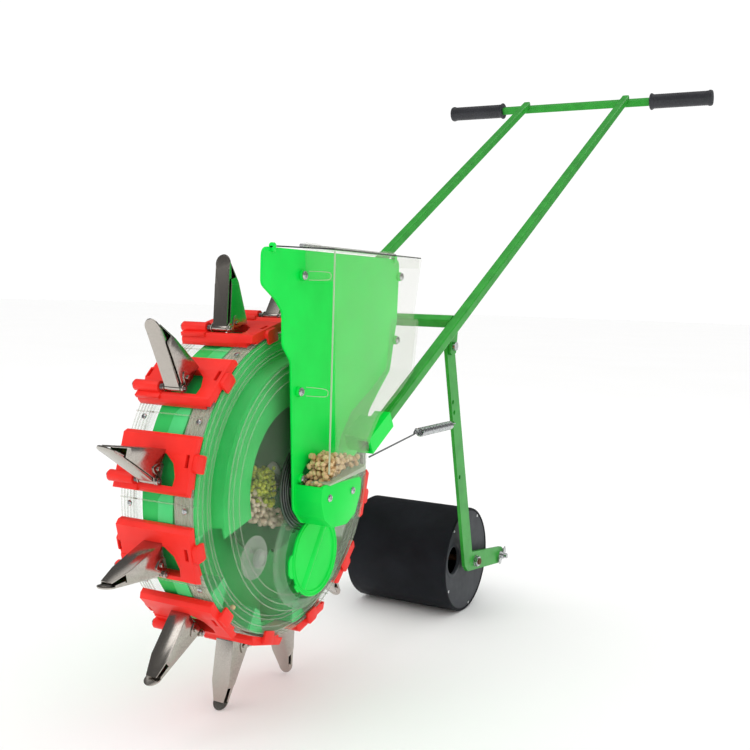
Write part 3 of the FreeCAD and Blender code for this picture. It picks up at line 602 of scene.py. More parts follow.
def seat_mesh():
    side = [(-39, 187.5), (-35, SEAT_TOP), (22, SEAT_TOP), (26, 189.5), (26, 181), (-39, 180.7)]
    body = prism(side, -50, 50)
    drum = rod((0, 0), RIM, -52.0, 52.0, sides=180)
    window = prism([(-16, -30), (30, -30), (31, -20), (26, -6), (14, 4), (-16, 4)], 150, 230, "Z")
    slot = block((41, -9, 150), (45.5, 5, 230))
    slot_far = block((-53, -10, 150), (-47.5, 2, 230))
    step = block((-49.9, -39.2, 191), (-16.5, -14, SEAT_TOP + 1.0))
    tab = prism([(-12, 177), (6, 177), (7, 180), (7, 190), (4, 193), (-10, 193), (-13, 190),
                 (-13, 180)], -54.6, 54.6)
    barrel = rod((PIN_Y, PIN_Z), 6.4, -53, -18, sides=32)
    eye = rod((PIN_Y, PIN_Z), 2.02, -70, 30, sides=20)
    chin = block((42, -39.5, 170), (50.5, -30, 186))
    whole = shaped(body, adders=[step, tab, barrel])
    return shaped(whole, [drum, window, slot, slot_far, eye, chin], edge=0.9)


wheel_piece("seat_plates", round_the_axle(seat_mesh(), BEAKS, BEAK_TURN, RED), RED,
            nodes=["beak_seats"])

# %% [markdown]
# ## The beaks
# Both halves of a beak are pressed from sheet. The moving half is a leaning channel with a round
# paddle tip; the fixed half is a folded triangle that also holds the pin. Each is cut from flat
# blanks, joined and given soft edges; the moving half's face is leaned over with a shear.

# %% beak blanks
def leaned(mesh, foot_y, slope, foot_z=197.0):
    """Shear a mesh so that it leans along Y as it rises from its foot."""
    for vertex in mesh.vertices:
        vertex.co.y += foot_y + slope * (vertex.co.z - foot_z)
    return mesh


def moving_half():
    head = arc_points((0, 269.6), 10.2, -38, 218, 22)
    outline = [(-9.9, 197), (9.9, 197), (9.2, 258), (9.0, 262)] + head + [(-9.0, 262), (-9.2, 258)]
    face = leaned(prism(outline, 0, 1.6, "Y"), -30, 0.3253)
    flange = [(-29.8, 197.2), (-18.5, 197.2), (-5, 262), (-3.9, 268), (-6.9, 268)]
    sides = [prism(flange, low, low + 1.3) for low in (-9.9, 8.6)]
    sleeve = rod((PIN_Y, PIN_Z), 3.6, -10.2, 10.2, sides=28)
    whole = shaped(face, adders=[*sides, sleeve])
    eye = rod((PIN_Y, PIN_Z), 2.06, -20, 20, sides=20)
    return shaped(whole, [eye], edge=0.35)


def fixed_half():
    wall = [(-31, 194.5), (8, 194.5), (8, 198), (-0.2, 270), (-4, 270), (-14.5, 235), (-24, 205),
            (-27, 203.8), (-31, 201)]
    outside = prism(wall, -12.5, 12.5)
    inside = prism([(-50, 190), (6.5, 190), (6.5, 198), (-1.8, 271), (-50, 271)], -11.1, 11.1)
    corners = [prism([(sign * 7, 271), (sign * 12.6, 246), (sign * 20, 246), (sign * 20, 271)],
                     -40, 40, "Y") for sign in (-1, 1)]
    eye = rod((PIN_Y, PIN_Z), 2.0, -20, 20, sides=20)
    shell = shaped(outside, [inside, *corners, eye], edge=0.35)
    ear = plate(rounded([(-24, 195), (-6, 195), (-9, 205), (-14, 212), (-19, 207)], 3),
                12.4, 14.0, edge=0.3)
    rivet = shaped(rod((-14, 202), 2.6, 13.8, 15.8), edge=0.6)
    washer = shaped(rod((PIN_Y, PIN_Z), 4.2, 12.6, 15.4), [rod((PIN_Y, PIN_Z), 2.0, 10, 16)],
                    edge=0.4)
    return joined(shell, ear, rivet, washer)


BLADE = moving_half()
for number in range(1, BEAKS + 1):
    turn = Matrix.Rotation(math.radians(BEAK_TURN + 360 / BEAKS * (number - 1)), 4, "X")
    wheel_piece("beak_blade_%02d" % number, moved(BLADE, turn), STAINLESS,
                "beak_%02d" % number, ["moving_beak_%02d" % number], smooth=30)
wheel_piece("beak_holders", round_the_axle(fixed_half(), BEAKS, BEAK_TURN, STAINLESS), STAINLESS,
            nodes=["fixed_beaks"], smooth=30)

# %% [markdown]
# The hinge pins run through the seat's barrel and the blade's sleeve. Each carries a small
# torsion spring whose legs push the beak shut. A coil follows a rule, so its centre line is
# written as a helix.

# %% pins and torsion springs
def helix(centre, radius, low, high, turns, per_turn=14):
    count = int(turns * per_turn)
    return [(low + (high - low) * n / count,
             centre[0] + radius * math.cos(math.tau * n / per_turn),
             centre[1] + radius * math.sin(math.tau * n / per_turn)) for n in range(count + 1)]


def pin_mesh():
    shaft = lathe([(-57, 0.01), (-57, 1.6), (-56.4, 2), (17, 2), (17, 0.01)], 20)
    head = lathe([(-55.6, 2), (-55.6, 4.4), (-53.4, 4.4), (-53.4, 2)], 20)
    whole = joined(shaft, head)
    whole.transform(Matrix.Translation((0, PIN_Y, PIN_Z)))
    return whole


def torsion_spring():
    coil = helix((PIN_Y, PIN_Z), 3.0, -17.5, -13.2, 4)
    legs = [(-17.5, PIN_Y + 6, SEAT_TOP + 1.9), (-17.5, PIN_Y + 4, PIN_Z - 1)]
    tail = [(-13.2, PIN_Y + 5, PIN_Z + 6), (-13.2, PIN_Y + 7, PIN_Z + 12)]
    return tube(legs + coil + tail, 0.6, 4, smooth=False)


wheel_piece("pin_shafts", round_the_axle(pin_mesh(), BEAKS, BEAK_TURN, ZINC), ZINC,
            nodes=["hinge_pins"])
wheel_piece("torsion_springs", round_the_axle(torsion_spring(), BEAKS, BEAK_TURN, STEEL), STEEL)

# %% [markdown]
# ## The drum
# The drum is two clear covers round a green rotor. The covers keep their CAD shape; what makes
# them read as moulded plastic is their detail: fine ridges round the tread, steps round the hub
# and a collar round the filling port.

# %% clear ridges on the drum
ridges = []
for centre in (-49.5, -45.2, -41, -36.8, -32, 26, 30.4, 35, 39.4, 44, 49):
    ridges.append(lathe(ring_of(centre, 1.1, 185.0, 1.6), 120))
for radius in (180.5, 172.5, 164, 159.6):
    ridges.append(lathe(ring_of(52.0, 1.2, radius, 1.3), 120))
for x, radius in ((70.2, 150.6), (70.4, 143.0), (70.3, 132.0)):
    ridges.append(lathe(ring_of(x, 1.0, radius, 1.2), 120))
wheel_piece("drum_ridges", joined(*ridges), RIB)

seam = block((-51.4, -0.7, 184.6), (51.4, 0.7, 185.6))
seam_two = block((-51.4, 10.5, 184.3), (51.4, 11.3, 185.3))
wheel_piece("tread_seams", round_the_axle(joined(seam, seam_two), BEAKS, 0, RIB), RIB)

hub = [lathe(ring_of(x, w, r, 1.6), 72) for x, w, r in (
    (71.6, 3.0, 54.6), (72.4, 3.4, 51.2), (73.4, 3.0, 47.8), (74.4, 3.0, 44.6))]
wheel_piece("hub_rings", joined(*hub), STEEL)
recess = lathe([(70.4, 37.6), (70.4, 43.4), (73.2, 43.4), (73.2, 37.6)], 72)
wheel_piece("hub_shadow_ring", recess, VINYL)

# %% [markdown]
# The rotor shows through the covers, so its inside counts as much as its outside. A green band
# runs under the tread, with paler wedges on it and a milky lining beside it. The upper half is
# closed by a green wall and a broad crescent, with a darker hollow inside, and the lower half is
# open, so the seed can be seen. The rotor's deeper green and the hollow's dark green are painted
# shade. Everything that runs round the axle is turned.

# %% rotor
def rotor_mesh():
    band = lathe([(-23, 176), (-23, 181.4), (21, 181.4), (21, 176)], 120)
    web = lathe([(-5, 22.2), (-5, 177), (-2, 177), (-2, 26), (19.5, 26), (19.5, 22.2)], 96)
    wall = lathe([(46.8, 150.5), (46.8, 181.6), (48.4, 181.6), (48.4, 150.5)], 96, -11, 196)
    slope = lathe([(48.4, 150.2), (48.4, 153), (62, 148.6), (62, 146.2)], 96, -11, 196)
    crescent = lathe([(57, 98), (57, 147.8), (59.4, 147.8), (59.4, 98)], 96, -16, 200)
    lip = lathe([(52, 96.5), (52, 98.2), (59.4, 98.2), (59.4, 96.5)], 96, -16, 200)
    inner = lathe([(0, 74), (0, 98), (2, 98), (2, 74)], 96, 10, 120)
    return joined(band, web, wall, slope, crescent, lip, inner)


# The rotor's deeper green is painted shade.
wheel_piece("rotor_body", rotor_mesh(), SHADED_ROTOR_GREEN, nodes=["seed_rotor"])
# Painted shade: a dark green disc put in the rotor's hollow, where there is only shadow.
shade_disc = lathe([(-1.9, 30), (-1.9, 96), (-0.7, 96), (-0.7, 30)], 96, -4, 200)
wheel_piece("rotor_cavity", shade_disc, SHADE_GREEN)


def scoop_mesh():
    """A curved vane under the tread with its pale cheek near the rim."""
    cheek = [(-9, 181.6), (2, 182), (13, 181), (21, 178.5), (17, 152), (6, 156)]
    side = prism(cheek, 45.0, 46.4)
    vane = prism([(14, 153), (16, 152.6), (22.5, 178), (20, 178.6)], -2, 45)
    return joined(side, vane)


wheel_piece("rotor_scoops", round_the_axle(scoop_mesh(), BEAKS, 12, PALE_GREEN), PALE_GREEN)
wedge = prism([(0, -22), (20.5, -22), (20.5, 12), (7, 12), (0, 2)], 181.9, 183.0, "Z")
wheel_piece("tread_wedges", round_the_axle(shaped(wedge, edge=0.3), BEAKS, 0, PALE_GREEN), PALE_GREEN)
tread_band = lathe([(21.6, 180.6), (21.6, 181.8), (45.6, 181.8), (45.6, 180.6)], 120)
wheel_piece("tread_lining", tread_band, MILKY)

# %% [markdown]
# ## The filling port
# A green tinted collar lies round the port, and the green cap closes it: a shallow dish with a
# double rim, a wide ridge across it to turn it by, and two lugs at its edge.
# Beside them sits the small grey drain plug.

# %% port and cap
CAP = Vector(JOINTS["cap_twist"]["pos_m"])
collar = lathe([(-17.6, 54), (-17.6, 67), (-14.4, 67), (-14.4, 65.6), (-16.2, 65), (-16.2, 56),
                (-8.6, 55.4), (-8.6, 54)], 72)
wheel_piece("port_collar", collar, TINTED, centre=CAP)


def cap_mesh():
    dish = lathe([(-3.2, 0.01), (-3.2, 49.2), (-2.4, 50), (-0.7, 50), (0, 49.3), (0, 48.3),
                  (-0.9, 47.6), (-1.3, 46.6), (-1.3, 45.6), (-0.4, 45), (-0.4, 43.9), (-1.4, 43.2),
                  (-2.4, 42.6), (-2.4, 0.01)], 96)
    skirt = lathe([(-9, 33), (-9, 35.6), (-3, 35.6), (-3, 33)], 72)
    blank = prism([(-2.8, -7), (-0.3, -1.4), (-0.3, 1.4), (-2.8, 7)], -44, 44, "Z")
    ridge = shaped(blank, edge=0.3)
    lug = plate(rounded([(-7, 0), (-5.5, 5), (5.5, 5), (7, 0)], 2.5), -3.2, -1.0, edge=0.5)
    lobe = plate(rounded([(-15, 6), (-14, 0), (-8, -4.6), (8, -4.6), (14, 0), (15, 6)], 4),
                 -3.2, -1.0, edge=0.5)
    lugs = []
    for angle, blade in ((-52, lobe), (-17, lug)):
        turn = Matrix.Rotation(math.radians(angle), 4, "X") @ Matrix.Translation((0, 0, -52.6))
        lugs.append(moved(blade, turn))
    return joined(dish, skirt, ridge, *lugs)


cap = cap_mesh()
cap.transform(Matrix.Rotation(math.radians(-33), 4, "X"))
wheel_piece("cap_cover", cap, GREEN, "cap", ["filler_cap"], CAP)

low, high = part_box("drain_plug")
plug = lathe([(0.3, 0.01), (0.3, 10.6), (3.6, 10.6), (4.6, 9.6), (6.2, 8.6), (6.4, 7.6),
              (5.0, 7.0), (5.0, 0.01)], 48)
PLUG = Vector((low.x, (low.y + high.y) / 2, (low.z + high.z) / 2))
wheel_piece("plug_cap", plug, GREY_CLEAR, nodes=["drain_plug"], centre=PLUG)
disc = lathe([(-5.6, 0.01), (-5.6, 25), (-4.4, 25), (-4.4, 0.01)], 64)
wheel_piece("plug_disc", disc, GREY_CLEAR, centre=PLUG)

# %% [markdown]
# ## The hopper
# The green back plate follows one smooth outline with an S-shaped shoulder. The clear box stands
# on it, held by screws that run down moulded channels.

# %% hopper plate
PLATE_BACK, PLATE_FACE = 82.0, 85.0
plate_line = [(-119, 236), (-119, 277), (201.5, 277), (199, 195), (183, 128), (151, 100),
              (128, 78), (118, 40), (60, 4), (46, -22), (28, -41), (0, -46), (-28, -41),
              (-46, -22), (-50, 36), (-58, 150), (-75, 168), (-77, 206), (-92, 220)]
hole = arc_points((0, 0), 34, 0, 352, 44)
panel = plate(rounded(plate_line, 11), PLATE_BACK, PLATE_FACE, [hole], edge=0.7)
neck = lathe([(79, 34), (79, 37), (PLATE_FACE - 1, 37), (PLATE_FACE - 1, 34)], 64)
SCREWS = [(-41, 248), (-42.5, 115), (-33, 12.5), (199, 254), (193, 169)]
bosses = [shaped(rod(spot, 6.0, PLATE_FACE - 0.5, PLATE_FACE + 4), edge=1.0) for spot in SCREWS]
for y in (-101, 184.5):
    knob = rod((85.5, 278.6), 3.4, y - 3, y + 3, "Y")
    bosses.append(shaped(knob, edge=0.8))
    bosses.append(shaped(block((82.6, y - 3, 272), (88.4, y + 3, 278.6)), edge=0.6))
wheel_piece("hopper_back", joined(panel, neck, *bosses), GREEN, "frame", ["hopper_plate"])


# %% [markdown]
# Pan head screws with a cross recess hold the box, the bowl and the drum. One head is cut, and
# every screw is a copy of it.

# %% screws
def screw_mesh():
    """A pan head with a cross recess, pointing along +X."""
    head = lathe([(0, 0.01), (0, 5.2), (1.2, 5.2), (2.3, 4.2), (2.9, 2.1), (3.0, 0.01)], 28)
    cross = [block((1.7, -0.5, -2.6), (4, 0.5, 2.6)), block((1.7, -2.6, -0.5), (4, 2.6, 0.5))]
    return shaped(head, cross)


HEAD = screw_mesh()
heads = [moved(HEAD, Matrix.Translation((PLATE_FACE + 4, y, z))) for y, z in SCREWS]
wheel_piece("hopper_screw_heads", joined(*heads), ZINC, "frame", ["hopper_screws"], smooth=28)
bowl_heads = [moved(HEAD, Matrix.Translation((121.5, y, z)) @ Matrix.Scale(0.85, 4))
              for y, z in ((-27, -7), (26, -6))]
wheel_piece("bowl_screw_heads", joined(*bowl_heads), ZINC, "frame", smooth=28)

tread_head = moved(HEAD, Matrix.Rotation(math.radians(-90), 4, "Y"))
tread_heads = joined(*[moved(tread_head, Matrix.Translation((x, y, 184.6)) @ Matrix.Scale(0.62, 4))
                       for x, y in ((-38, -6), (38, -6))])
wheel_piece("tread_screws", round_the_axle(tread_heads, BEAKS, 0, ZINC), ZINC,
            nodes=["drum_screws"], smooth=28)

# %% [markdown]
# The box itself is a thin clear shell open at the top. Its cut edges look pale and nearly solid,
# so a bead runs down its front corner, thin wires draw the mouths of the screw channels, and a
# sloping sill stands above the bowl. A dark line along the lid's edge rides on the lid; it stands
# for the lid's edge and the shadow the lid casts on the plate, so it is partly painted shadow.

# %% clear box
OUTER = 124.8
BOX_TOP = 276.9
box_foot = [(-34, 9.2), (51, 9.2), (51, 18), (60, 51), (84, 79), (136, 105), (175, 131), (187, 209)]


def box_mesh():
    outline = rounded(box_foot, 9) + [(187.9, BOX_TOP), (-34, BOX_TOP)]
    solid = prism(outline, PLATE_FACE + 0.05, OUTER)
    inside = rounded([(-31.6, -5), (48, -5), (49, 19), (57.5, 52.5), (82, 81.4), (134, 107.4),
                      (172.6, 132.6), (184.6, 209.5), (185.4, 300), (-31.6, 300)], 7)
    return shaped(solid, [prism(inside, PLATE_FACE - 5, OUTER - 2.3)], edge=0.6)


wheel_piece("hopper_walls", box_mesh(), CLOUDY, "frame", ["hopper_box"])

beads = [tube([(OUTER - 0.8, y, z) for y, z in
               [(-33.4, 276), (-33.4, 150), (-33.4, 22)]], 1.1, 6, smooth=False)]
for y, z in SCREWS[:2]:
    groove = [(PLATE_FACE + 6, z + 5), (115, z + 5), (120, z + 3), (120.6, z), (120, z - 3),
              (115, z - 5), (PLATE_FACE + 6, z - 5)]
    beads.append(tube([(gx, -34.3, gz) for gx, gz in groove], 0.45, 4))
sill = prism(rounded([(-33, 9.8), (-31.4, 8.2), (50.5, 15), (51.6, 22), (50, 23), (46, 20)], 1.2),
             PLATE_FACE + 14, OUTER - 0.4)
wheel_piece("hopper_beads", joined(*beads), EDGE, "frame")
wheel_piece("hopper_sill", sill, EDGE, "frame", ["hopper_shelf"])
# Partly painted shadow: a black wire along the lid's front edge, standing for the lid's edge and the
# shadow it casts on the plate.
lid_rim = tube([(85.6, -98, 278.2), (124, -34, 278.2), (124, 186, 278.2)], 0.8, 4, smooth=False)
wheel_piece("lid_rim", lid_rim, VINYL, "lid")

# %% [markdown]
# The bowl closes the foot of the hopper and leads the seed into the drum. Its outline is a shallow
# basin, hollowed from behind, with a round boss inside.

# %% bowl
bowl_face = [(-45, 9), (-45, -10), (-38, -30), (-20, -43), (14, -44.5), (34, -34), (45, -12),
             (47, 9)]
bowl_inner = [(-42, 30), (-42, -10), (-35.5, -28), (-19, -40), (13, -41.5), (31.5, -32),
              (42, -11), (44, 30)]
bowl = shaped(prism(rounded(bowl_face, 9), PLATE_FACE + 0.02, 121.8),
              [prism(rounded(bowl_inner, 8), PLATE_FACE - 1, 118.5)],
              [rod((0, 0), 13.5, 105, 119)], 1.0)
wheel_piece("hopper_bowl_shell", bowl, GREEN, "frame", ["hopper_bowl"])

# %% [markdown]
# ## Seed
# Beans are scattered by Geometry Nodes: points fill a volume, each carries a small turned bean,
# and the seed of the scatter is fixed, so every run gives the same heap.

# %% geometry nodes: heaps of beans
STRAY = 2.6 * MM


def heap_tree():
    tree, identifiers, given = node_tree("heap of beans", Piece="Object", Spacing="Float",
                                         Seed="Int", Finish="Material")
    volume = add(tree, "GeometryNodeMeshToVolume", inputs={"Density": 1.0, "Voxel Amount": 96},
                 links={"Mesh": given["Geometry"]}).outputs["Volume"]
    points = add(tree, "GeometryNodeDistributePointsInVolume", {"mode": "DENSITY_GRID"},
                 {"Threshold": 0.1}, {"Volume": volume, "Spacing": given["Spacing"]})
    shift = add(tree, "FunctionNodeRandomValue", {"data_type": "FLOAT_VECTOR"},
                {0: (-STRAY, -STRAY, -STRAY), 1: (STRAY, STRAY, STRAY)}, {"Seed": given["Seed"]})
    strewn = add(tree, "GeometryNodeSetPosition", links={
        "Geometry": points.outputs[0], "Offset": shift.outputs[0]})
    turn = add(tree, "FunctionNodeRandomValue", {"data_type": "FLOAT_VECTOR"},
               {1: (math.tau, math.tau, math.tau)}, {"Seed": given["Seed"]})
    size = add(tree, "FunctionNodeRandomValue", {"data_type": "FLOAT"}, {2: 0.85, 3: 1.12})
    bean = add(tree, "GeometryNodeObjectInfo", links={"Object": given["Piece"]})
    spread = add(tree, "GeometryNodeInstanceOnPoints", links={
        "Points": strewn.outputs[0], "Instance": bean.outputs["Geometry"],
        "Rotation": turn.outputs[0], "Scale": size.outputs[1]})
    end_tree(tree, spread.outputs[0], given)
    return tree, identifiers


HEAP_TREE, HEAP_INPUTS = heap_tree()


def bean_mesh(length, width):
    """A plump bean with a few dozen faces."""
    work = bmesh.new()
    bmesh.ops.create_uvsphere(work, u_segments=8, v_segments=6, radius=0.5)
    for vertex in work.verts:
        x, y, z = vertex.co
        vertex.co = (x * length, y * width - 0.06 * width * (1 - 4 * x * x), z * width * 0.92)
    mesh = bpy.data.meshes.new("bean")
    work.to_mesh(mesh)
    work.free()
    return mesh


def heap(name, container, bean, spacing, seed, material, body):
    """Fill a closed mesh, drawn in metres, with beans."""
    mesh = grown(HEAP_TREE, HEAP_INPUTS, container, bean, Spacing=spacing, Seed=seed,
                 Finish=material)
    return finished(name, mesh, material, body, smooth=180)


# %% [markdown]
# The hopper is nearly empty, so its beans lie on the sloping sill and in the bowl. The drum holds
# two kinds, and one bean has rolled off alone.

# %% fill hopper and drum
SOYA = bean_mesh(0.0078, 0.0064)
hopper_room = in_metres(prism([(-28, 12), (42, 23), (49, 27), (47, 32), (24, 35), (-10, 43),
                               (-28, 42)], PLATE_FACE + 4, OUTER - 6))
heap("hopper_beans", hopper_room, SOYA, 0.0058, 3, TAN_SEED, "frame")
bowl_room = in_metres(prism([(-36, 10), (-32, -14), (30, -14), (34, -2), (4, 13), (-28, 15)],
                            PLATE_FACE + 4, OUTER - 10))
heap("bowl_beans", bowl_room, SOYA, 0.0066, 4, TAN_SEED, "frame")
lower_room = in_metres(prism([(-80, 0), (-78, -30), (-60, -42), (-20, -54), (14, -60),
                              (14, -48), (-20, -30), (-40, -14), (-56, 0)], 24, 52))
heap("drum_beans", lower_room, SOYA, 0.0074, 5, PALE_SEED, "wheel")
green_room = in_metres(prism([(-78, 27), (-74, -4), (-60, -18), (-36, -26), (-34, 6),
                              (-38, 24)], 34, 54))
heap("drum_green_beans", green_room, bean_mesh(0.0062, 0.0052), 0.0052, 7, GREEN_SEED, "wheel")

loose = moved(SOYA, Matrix.Translation(at_axle(49.5, -112, -126)))
finished("loose_bean", loose, TAN_SEED, "wheel", smooth=180)

# %% [markdown]
# ## Grips, roller and small metalwork
# The grips are soft vinyl tubes with fine rings, and a flange at each end keeps the hands in
# place. They are turned, and the rings come from a loop along the profile.

# %% grips
def grip_mesh(sign):
    profile = [(166, 7.7), (166, 16.4), (167, 17.4), (169.4, 17.4), (171, 16), (173, 15)]
    x = 174.0
    while x < 281:
        profile += [(x, 15), (x + 1.2, 14.5), (x + 2.4, 15)]
        x += 4.0
    profile += [(284, 15), (286.5, 16.4), (290, 16.4), (292.6, 15), (293, 12), (293, 0.01),
                (288, 0.01), (288, 7.7)]
    return lathe([(sign * px, radius) for px, radius in profile], 48)


for side, sign in (("left", -1), ("right", 1)):
    low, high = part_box("grip_" + side)
    centre = Vector((0, (low.y + high.y) / 2, (low.z + high.z) / 2))
    wheel_piece("grip_cover_" + side, grip_mesh(sign), VINYL, "frame", ["grip_" + side], centre)

# %% [markdown]
# The press roller is a hollow black drum that can be filled with sand or water through a round
# opening near its edge. Its flat ends sit just inside the rolled rim.

# %% roller
shell = lathe([(-88, 74), (-88, 78), (-86.6, 80.8), (-83.5, 82.4), (84.5, 82.4), (87, 81.8),
               (88, 80.6), (88, 78.6), (82.8, 78.6), (82.8, 74)], 128)
wheel_piece("roller_skin", shell, POLYETHYLENE, "press_roller", ["roller_shell"], ROLLER)
FILL = (-50.4, 9.0)


def roller_end():
    disc = plate(arc_points((0, 0), 78.4, 0, 357, 119), 83.2, 87.2,
                 [arc_points(FILL, 21, 0, 352, 44), arc_points((0, 0), 12, 0, 345, 23)], edge=0.5)
    ring = lathe([(85, 21.2), (85, 27), (87.4, 27), (88, 26), (88, 22.2), (87.2, 21.2)], 56)
    ring.transform(Matrix.Translation((0, *FILL)))
    return joined(disc, ring)


near_end = roller_end()
far_end = moved(near_end, Matrix.Rotation(math.pi, 4, "Z"))
wheel_piece("roller_face_near", near_end, END_SHEET, "press_roller", ["roller_end_near"],
            ROLLER)
wheel_piece("roller_face_far", far_end, END_SHEET, "press_roller", ["roller_end_far"], ROLLER)
rim_heads = []
for angle in (59, 133, 210, 281, 350):
    spot = (75 * math.cos(math.radians(angle)), 75 * math.sin(math.radians(angle)))
    rim_heads.append(shaped(rod(spot, 2.4, 86.5, 88, sides=16), edge=0.4))
wheel_piece("roller_rim_screws", joined(*rim_heads), ZINC, "press_roller", centre=ROLLER)


# %% [markdown]
# Hexagon nuts hold the roller's axle, and wing nuts hold the tie rod, so that it comes off by hand.

# %% nuts and wing nuts
def hex_mesh(radius, low, high, bore):
    outline = arc_points((0, 0), radius, 0, 300, 5)
    return shaped(prism(outline, low, high), [rod((0, 0), bore, low - 1, high + 1)], edge=0.5)


nuts = []
for sign in (-1, 1):
    low_x, high_x = sorted((sign * 104, sign * 109.8))
    nuts.append(hex_mesh(8.8, low_x, high_x, 5.05))
    washer = sorted((sign * 104, sign * 105.2))
    nuts.append(shaped(rod((0, 0), 8.9, *washer), [rod((0, 0), 5.1, -200, 200)]))
wheel_piece("roller_hex_nuts", joined(*nuts), ZINC, "press_arm", ["roller_nuts"], ROLLER)

low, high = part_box("tie_rod")
TIE = Vector((0, (low.y + high.y) / 2, (low.z + high.z) / 2))


def wing_nut(sign):
    base = lathe([(104, 4.1), (104, 6.9), (108, 6), (110.6, 5), (110.6, 4.1)], 24)
    wing = plate(rounded([(4.2, -3), (13, -7), (16.6, -2), (16.4, 5), (12, 6.4), (4.2, 3)], 2.5),
                 106.4, 108.2, edge=0.6)
    wings = [wing, moved(wing, Matrix.Rotation(math.pi, 4, "X"))]
    whole = joined(base, *[moved(w, Matrix.Rotation(math.radians(35), 4, "X")) for w in wings])
    return whole if sign > 0 else moved(whole, Matrix.Rotation(math.pi, 4, "Z"))


wheel_piece("wing_nut_bodies", joined(wing_nut(1), wing_nut(-1)), ZINC, "press_arm",
            ["wing_nuts"], TIE)

# %% [markdown]
# ## Return springs
# Each spring is one wire: close coils, then a hook. Geometry Nodes has a Spiral curve for the
# coil; swept with a round profile it becomes the spring.

# %% geometry nodes: coil springs
def coil_tree():
    tree, identifiers, given = node_tree("coil spring", Turns="Float", Radius="Float",
                                         Length="Float", Wire="Float", Finish="Material")
    spiral = add(tree, "GeometryNodeCurveSpiral", inputs={"Resolution": 16}, links={
        "Rotations": given["Turns"], "Start Radius": given["Radius"],
        "End Radius": given["Radius"], "Height": given["Length"]}).outputs[0]
    profile = add(tree, "GeometryNodeCurvePrimitiveCircle", inputs={"Resolution": 6},
                  links={"Radius": given["Wire"]}).outputs[0]
    swept = add(tree, "GeometryNodeCurveToMesh", inputs={"Fill Caps": True},
                links={"Curve": spiral, "Profile Curve": profile}).outputs[0]
    end_tree(tree, swept, given)
    return tree, identifiers


COIL_TREE, COIL_INPUTS = coil_tree()


def coil(turns, radius, length, wire, material):
    """A coil that stands on the XY plane, in millimetres."""
    return grown(COIL_TREE, COIL_INPUTS, bpy.data.meshes.new("host"), Turns=turns, Radius=radius,
                 Length=length, Wire=wire, Finish=material)


# %% [markdown]
# A tension spring is a close coil with a hook at each end. The front hook takes a straight wire
# from the bracket, and the rear hook goes through a hole in the press arm.

# %% tension springs
SPRING_X, SPRING_Z = 108.0, 41.7
FRONT, REAR = 232.0, 334.0


def spring_mesh(sign):
    body = coil(46, 5.6, REAR - FRONT - 1.6, 0.88, ZINC)
    body.transform(Matrix.Translation((0, FRONT + 0.8, 0)) @
                   Matrix.Rotation(math.radians(-90), 4, "X"))
    hook = [(0, FRONT + 1.5, 5.6), (0, FRONT - 2, 5.0), (0, FRONT - 6, 1.5), (0, FRONT - 10, 0),
            (0, FRONT - 14, 2.4), (0, FRONT - 13, 6), (0, FRONT - 9, 6.4), (0, FRONT - 6, 4)]
    whole = joined(body, tube(hook, 0.9, 6))
    whole.transform(Matrix.Translation((sign * SPRING_X, 0, SPRING_Z)))
    return whole


wheel_piece("spring_coils", joined(spring_mesh(-1), spring_mesh(1)), ZINC, "frame",
            ["tension_springs"])


def wire_rod(sign):
    x = sign * SPRING_X
    points = [(x, 90, 25), (x, 94, 25.5), (x, 150, 32.4), (x, 210, 39.9), (x, 219, 41),
              (x, 223, 44), (x, 220, 46.5), (x, 216, 44), (x, 215, 40.5)]
    return tube(points, 1.1, 6)


wheel_piece("spring_wires", joined(wire_rod(-1), wire_rod(1)), STEEL, "frame", ["spring_rods"])


def rear_hook(sign):
    x = sign * SPRING_X
    points = [(x, 322, SPRING_Z), (x, 338, SPRING_Z), (x, 346, SPRING_Z + 1.5),
              (x, 352, SPRING_Z + 1), (x - sign * 1.5, 355, SPRING_Z),
              (x - sign * 4, 355.2, SPRING_Z), (x - sign * 10.2, 355, SPRING_Z)]
    return tube(points, 0.95, 6)


wheel_piece("spring_rear_hooks", joined(rear_hook(-1), rear_hook(1)), ZINC, "press_arm",
            ["spring_hooks"])

# %% [markdown]
# ## CAD pieces that keep their shape
# Tubes, arms, covers and pins are used as they are and only get their finish.

# %% finishes for CAD nodes
FINISHES = {
    COAT: ["bar_lower_left", "bar_upper_left", "bar_lower_right", "bar_upper_right", "handlebar",
           "crossbar", "pivot_lugs", "press_arm_left", "press_arm_right", "splice_plugs"],
    CLEAR: ["drum_cover_near", "drum_cover_far"],
    CLOUDY: ["hopper_lid"],
    GREEN: ["bracket_near", "bracket_far"],
    # Painted shade: the white nylon metering disc gets the dark green that stands for the shadow
    # inside the drum.
    SHADE_GREEN: ["metering_disc"],
    NYLON: ["axle_bearings", "roller_bushings"],
    ZINC: ["axle_nut", "pivot_bolts", "lid_pin", "tie_rod", "roller_spacers"],
    STEEL: ["axle"],
    RUST: ["roller_axle"],
}
for material, names in FINISHES.items():
    for name in names:
        mesh = frame["nodes"][name].data
        mesh.materials.clear()
        mesh.materials.append(material)
print("dressed", sum(len(names) for names in FINISHES.values()), "CAD nodes")

# %% [markdown]
# ## Studio
# A pale floor that runs out to the horizon, a bright even sky and three soft lights: one broad
# key above the left, a fill from the right and a rim light behind. In an all-white room bare
# steel looks flat, so the sky is white for light and grey where it is mirrored, as a real room
# is.

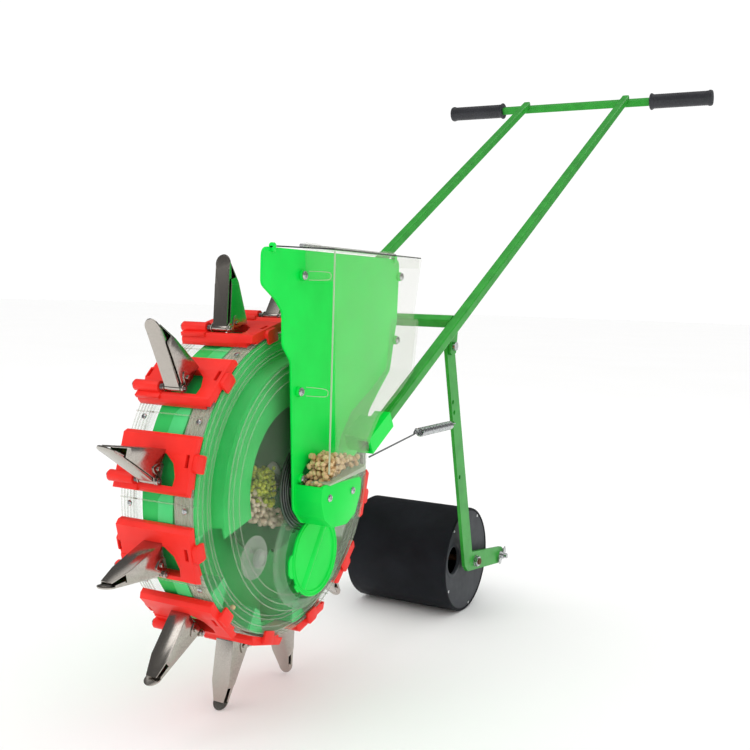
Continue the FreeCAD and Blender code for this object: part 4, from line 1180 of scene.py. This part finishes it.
# %% floor, lights and camera
floor_finish, floor_tree, floor_place = new_material("studio_floor")
speck = add(floor_tree, "ShaderNodeTexNoise", inputs={"Scale": per_metre(900), "Detail": 3},
            links={"Vector": floor_place}).outputs["Fac"]
paint = add(floor_tree, "ShaderNodeValToRGB", links={"Fac": speck},
            stops=[(0, linear("FBFBFA")), (1, linear("FFFFFF"))]).outputs["Color"]
floor_shader = add(floor_tree, "ShaderNodeBsdfPrincipled", inputs={"Roughness": 0.9},
                   links={"Base Color": paint})
add(floor_tree, "ShaderNodeOutputMaterial", links={"Surface": floor_shader.outputs["BSDF"]})
floor = finished("floor", from_faces([(-30, -30, 0), (30, -30, 0), (30, 30, 0), (-30, 30, 0)],
                                     [(0, 1, 2, 3)]), floor_finish)

world = bpy.data.worlds.new("studio")
bpy.context.scene.world = world
world.use_nodes = True
sky = world.node_tree.nodes["Background"]
heading = add(world.node_tree, "ShaderNodeTexCoord").outputs["Generated"]
height = add(world.node_tree, "ShaderNodeSeparateXYZ", links={"Vector": heading}).outputs["Z"]
room = add(world.node_tree, "ShaderNodeValToRGB", links={"Fac": height}, stops=[
    (0.0, linear("E8E8E8")), (0.04, linear("8A8A8A")), (0.3, linear("5A5A5A")),
    (0.75, linear("6A6A6A")), (0.95, linear("FFFFFF"))]).outputs["Color"]
glossy = add(world.node_tree, "ShaderNodeLightPath").outputs["Is Glossy Ray"]
shade = add(world.node_tree, "ShaderNodeMix", {"data_type": "RGBA"}, {6: linear("FFFFFF")},
            {0: glossy, 7: room})
world.node_tree.links.new(shade.outputs[2], sky.inputs["Color"])
sky.inputs["Strength"].default_value = 1.05


def soft_light(name, spot, target, size, power):
    lamp = bpy.data.lights.new(name, "AREA")
    lamp.shape = "DISK"
    lamp.size = size
    lamp.energy = power
    item = bpy.data.objects.new(name, lamp)
    bpy.context.scene.collection.objects.link(item)
    item.location = spot
    item.rotation_euler = (Vector(target) - Vector(spot)).to_track_quat("-Z", "Y").to_euler()
    return item


soft_light("key", (-1.2, -2.4, 2.8), (0, -0.3, 0.3), 1.6, 12)
soft_light("fill", (3.0, -1.6, 1.4), (0, -0.2, 0.3), 2.0, 4)
soft_light("rim", (0.6, 2.6, 2.2), (0, 0, 0.4), 1.4, 6)

lens = bpy.data.cameras.new("camera")
lens.lens = 48.98
lens.sensor_width = 36
lens.clip_end = 100
camera = bpy.data.objects.new("camera", lens)
bpy.context.scene.collection.objects.link(camera)
azimuth, elevation, roll = math.radians(28.5), math.radians(4.4), math.radians(1.7)
camera.location = AXLE + Vector((0.7188, -1.0259, 0.2266))
camera.matrix_world = (Matrix.Translation(camera.location) @
                       Matrix.Rotation(azimuth, 4, "Z") @
                       Matrix.Rotation(math.pi / 2 - elevation, 4, "X") @
                       Matrix.Rotation(roll, 4, "Z"))
bpy.context.scene.camera = camera
bpy.context.scene.view_settings.view_transform = "Standard"
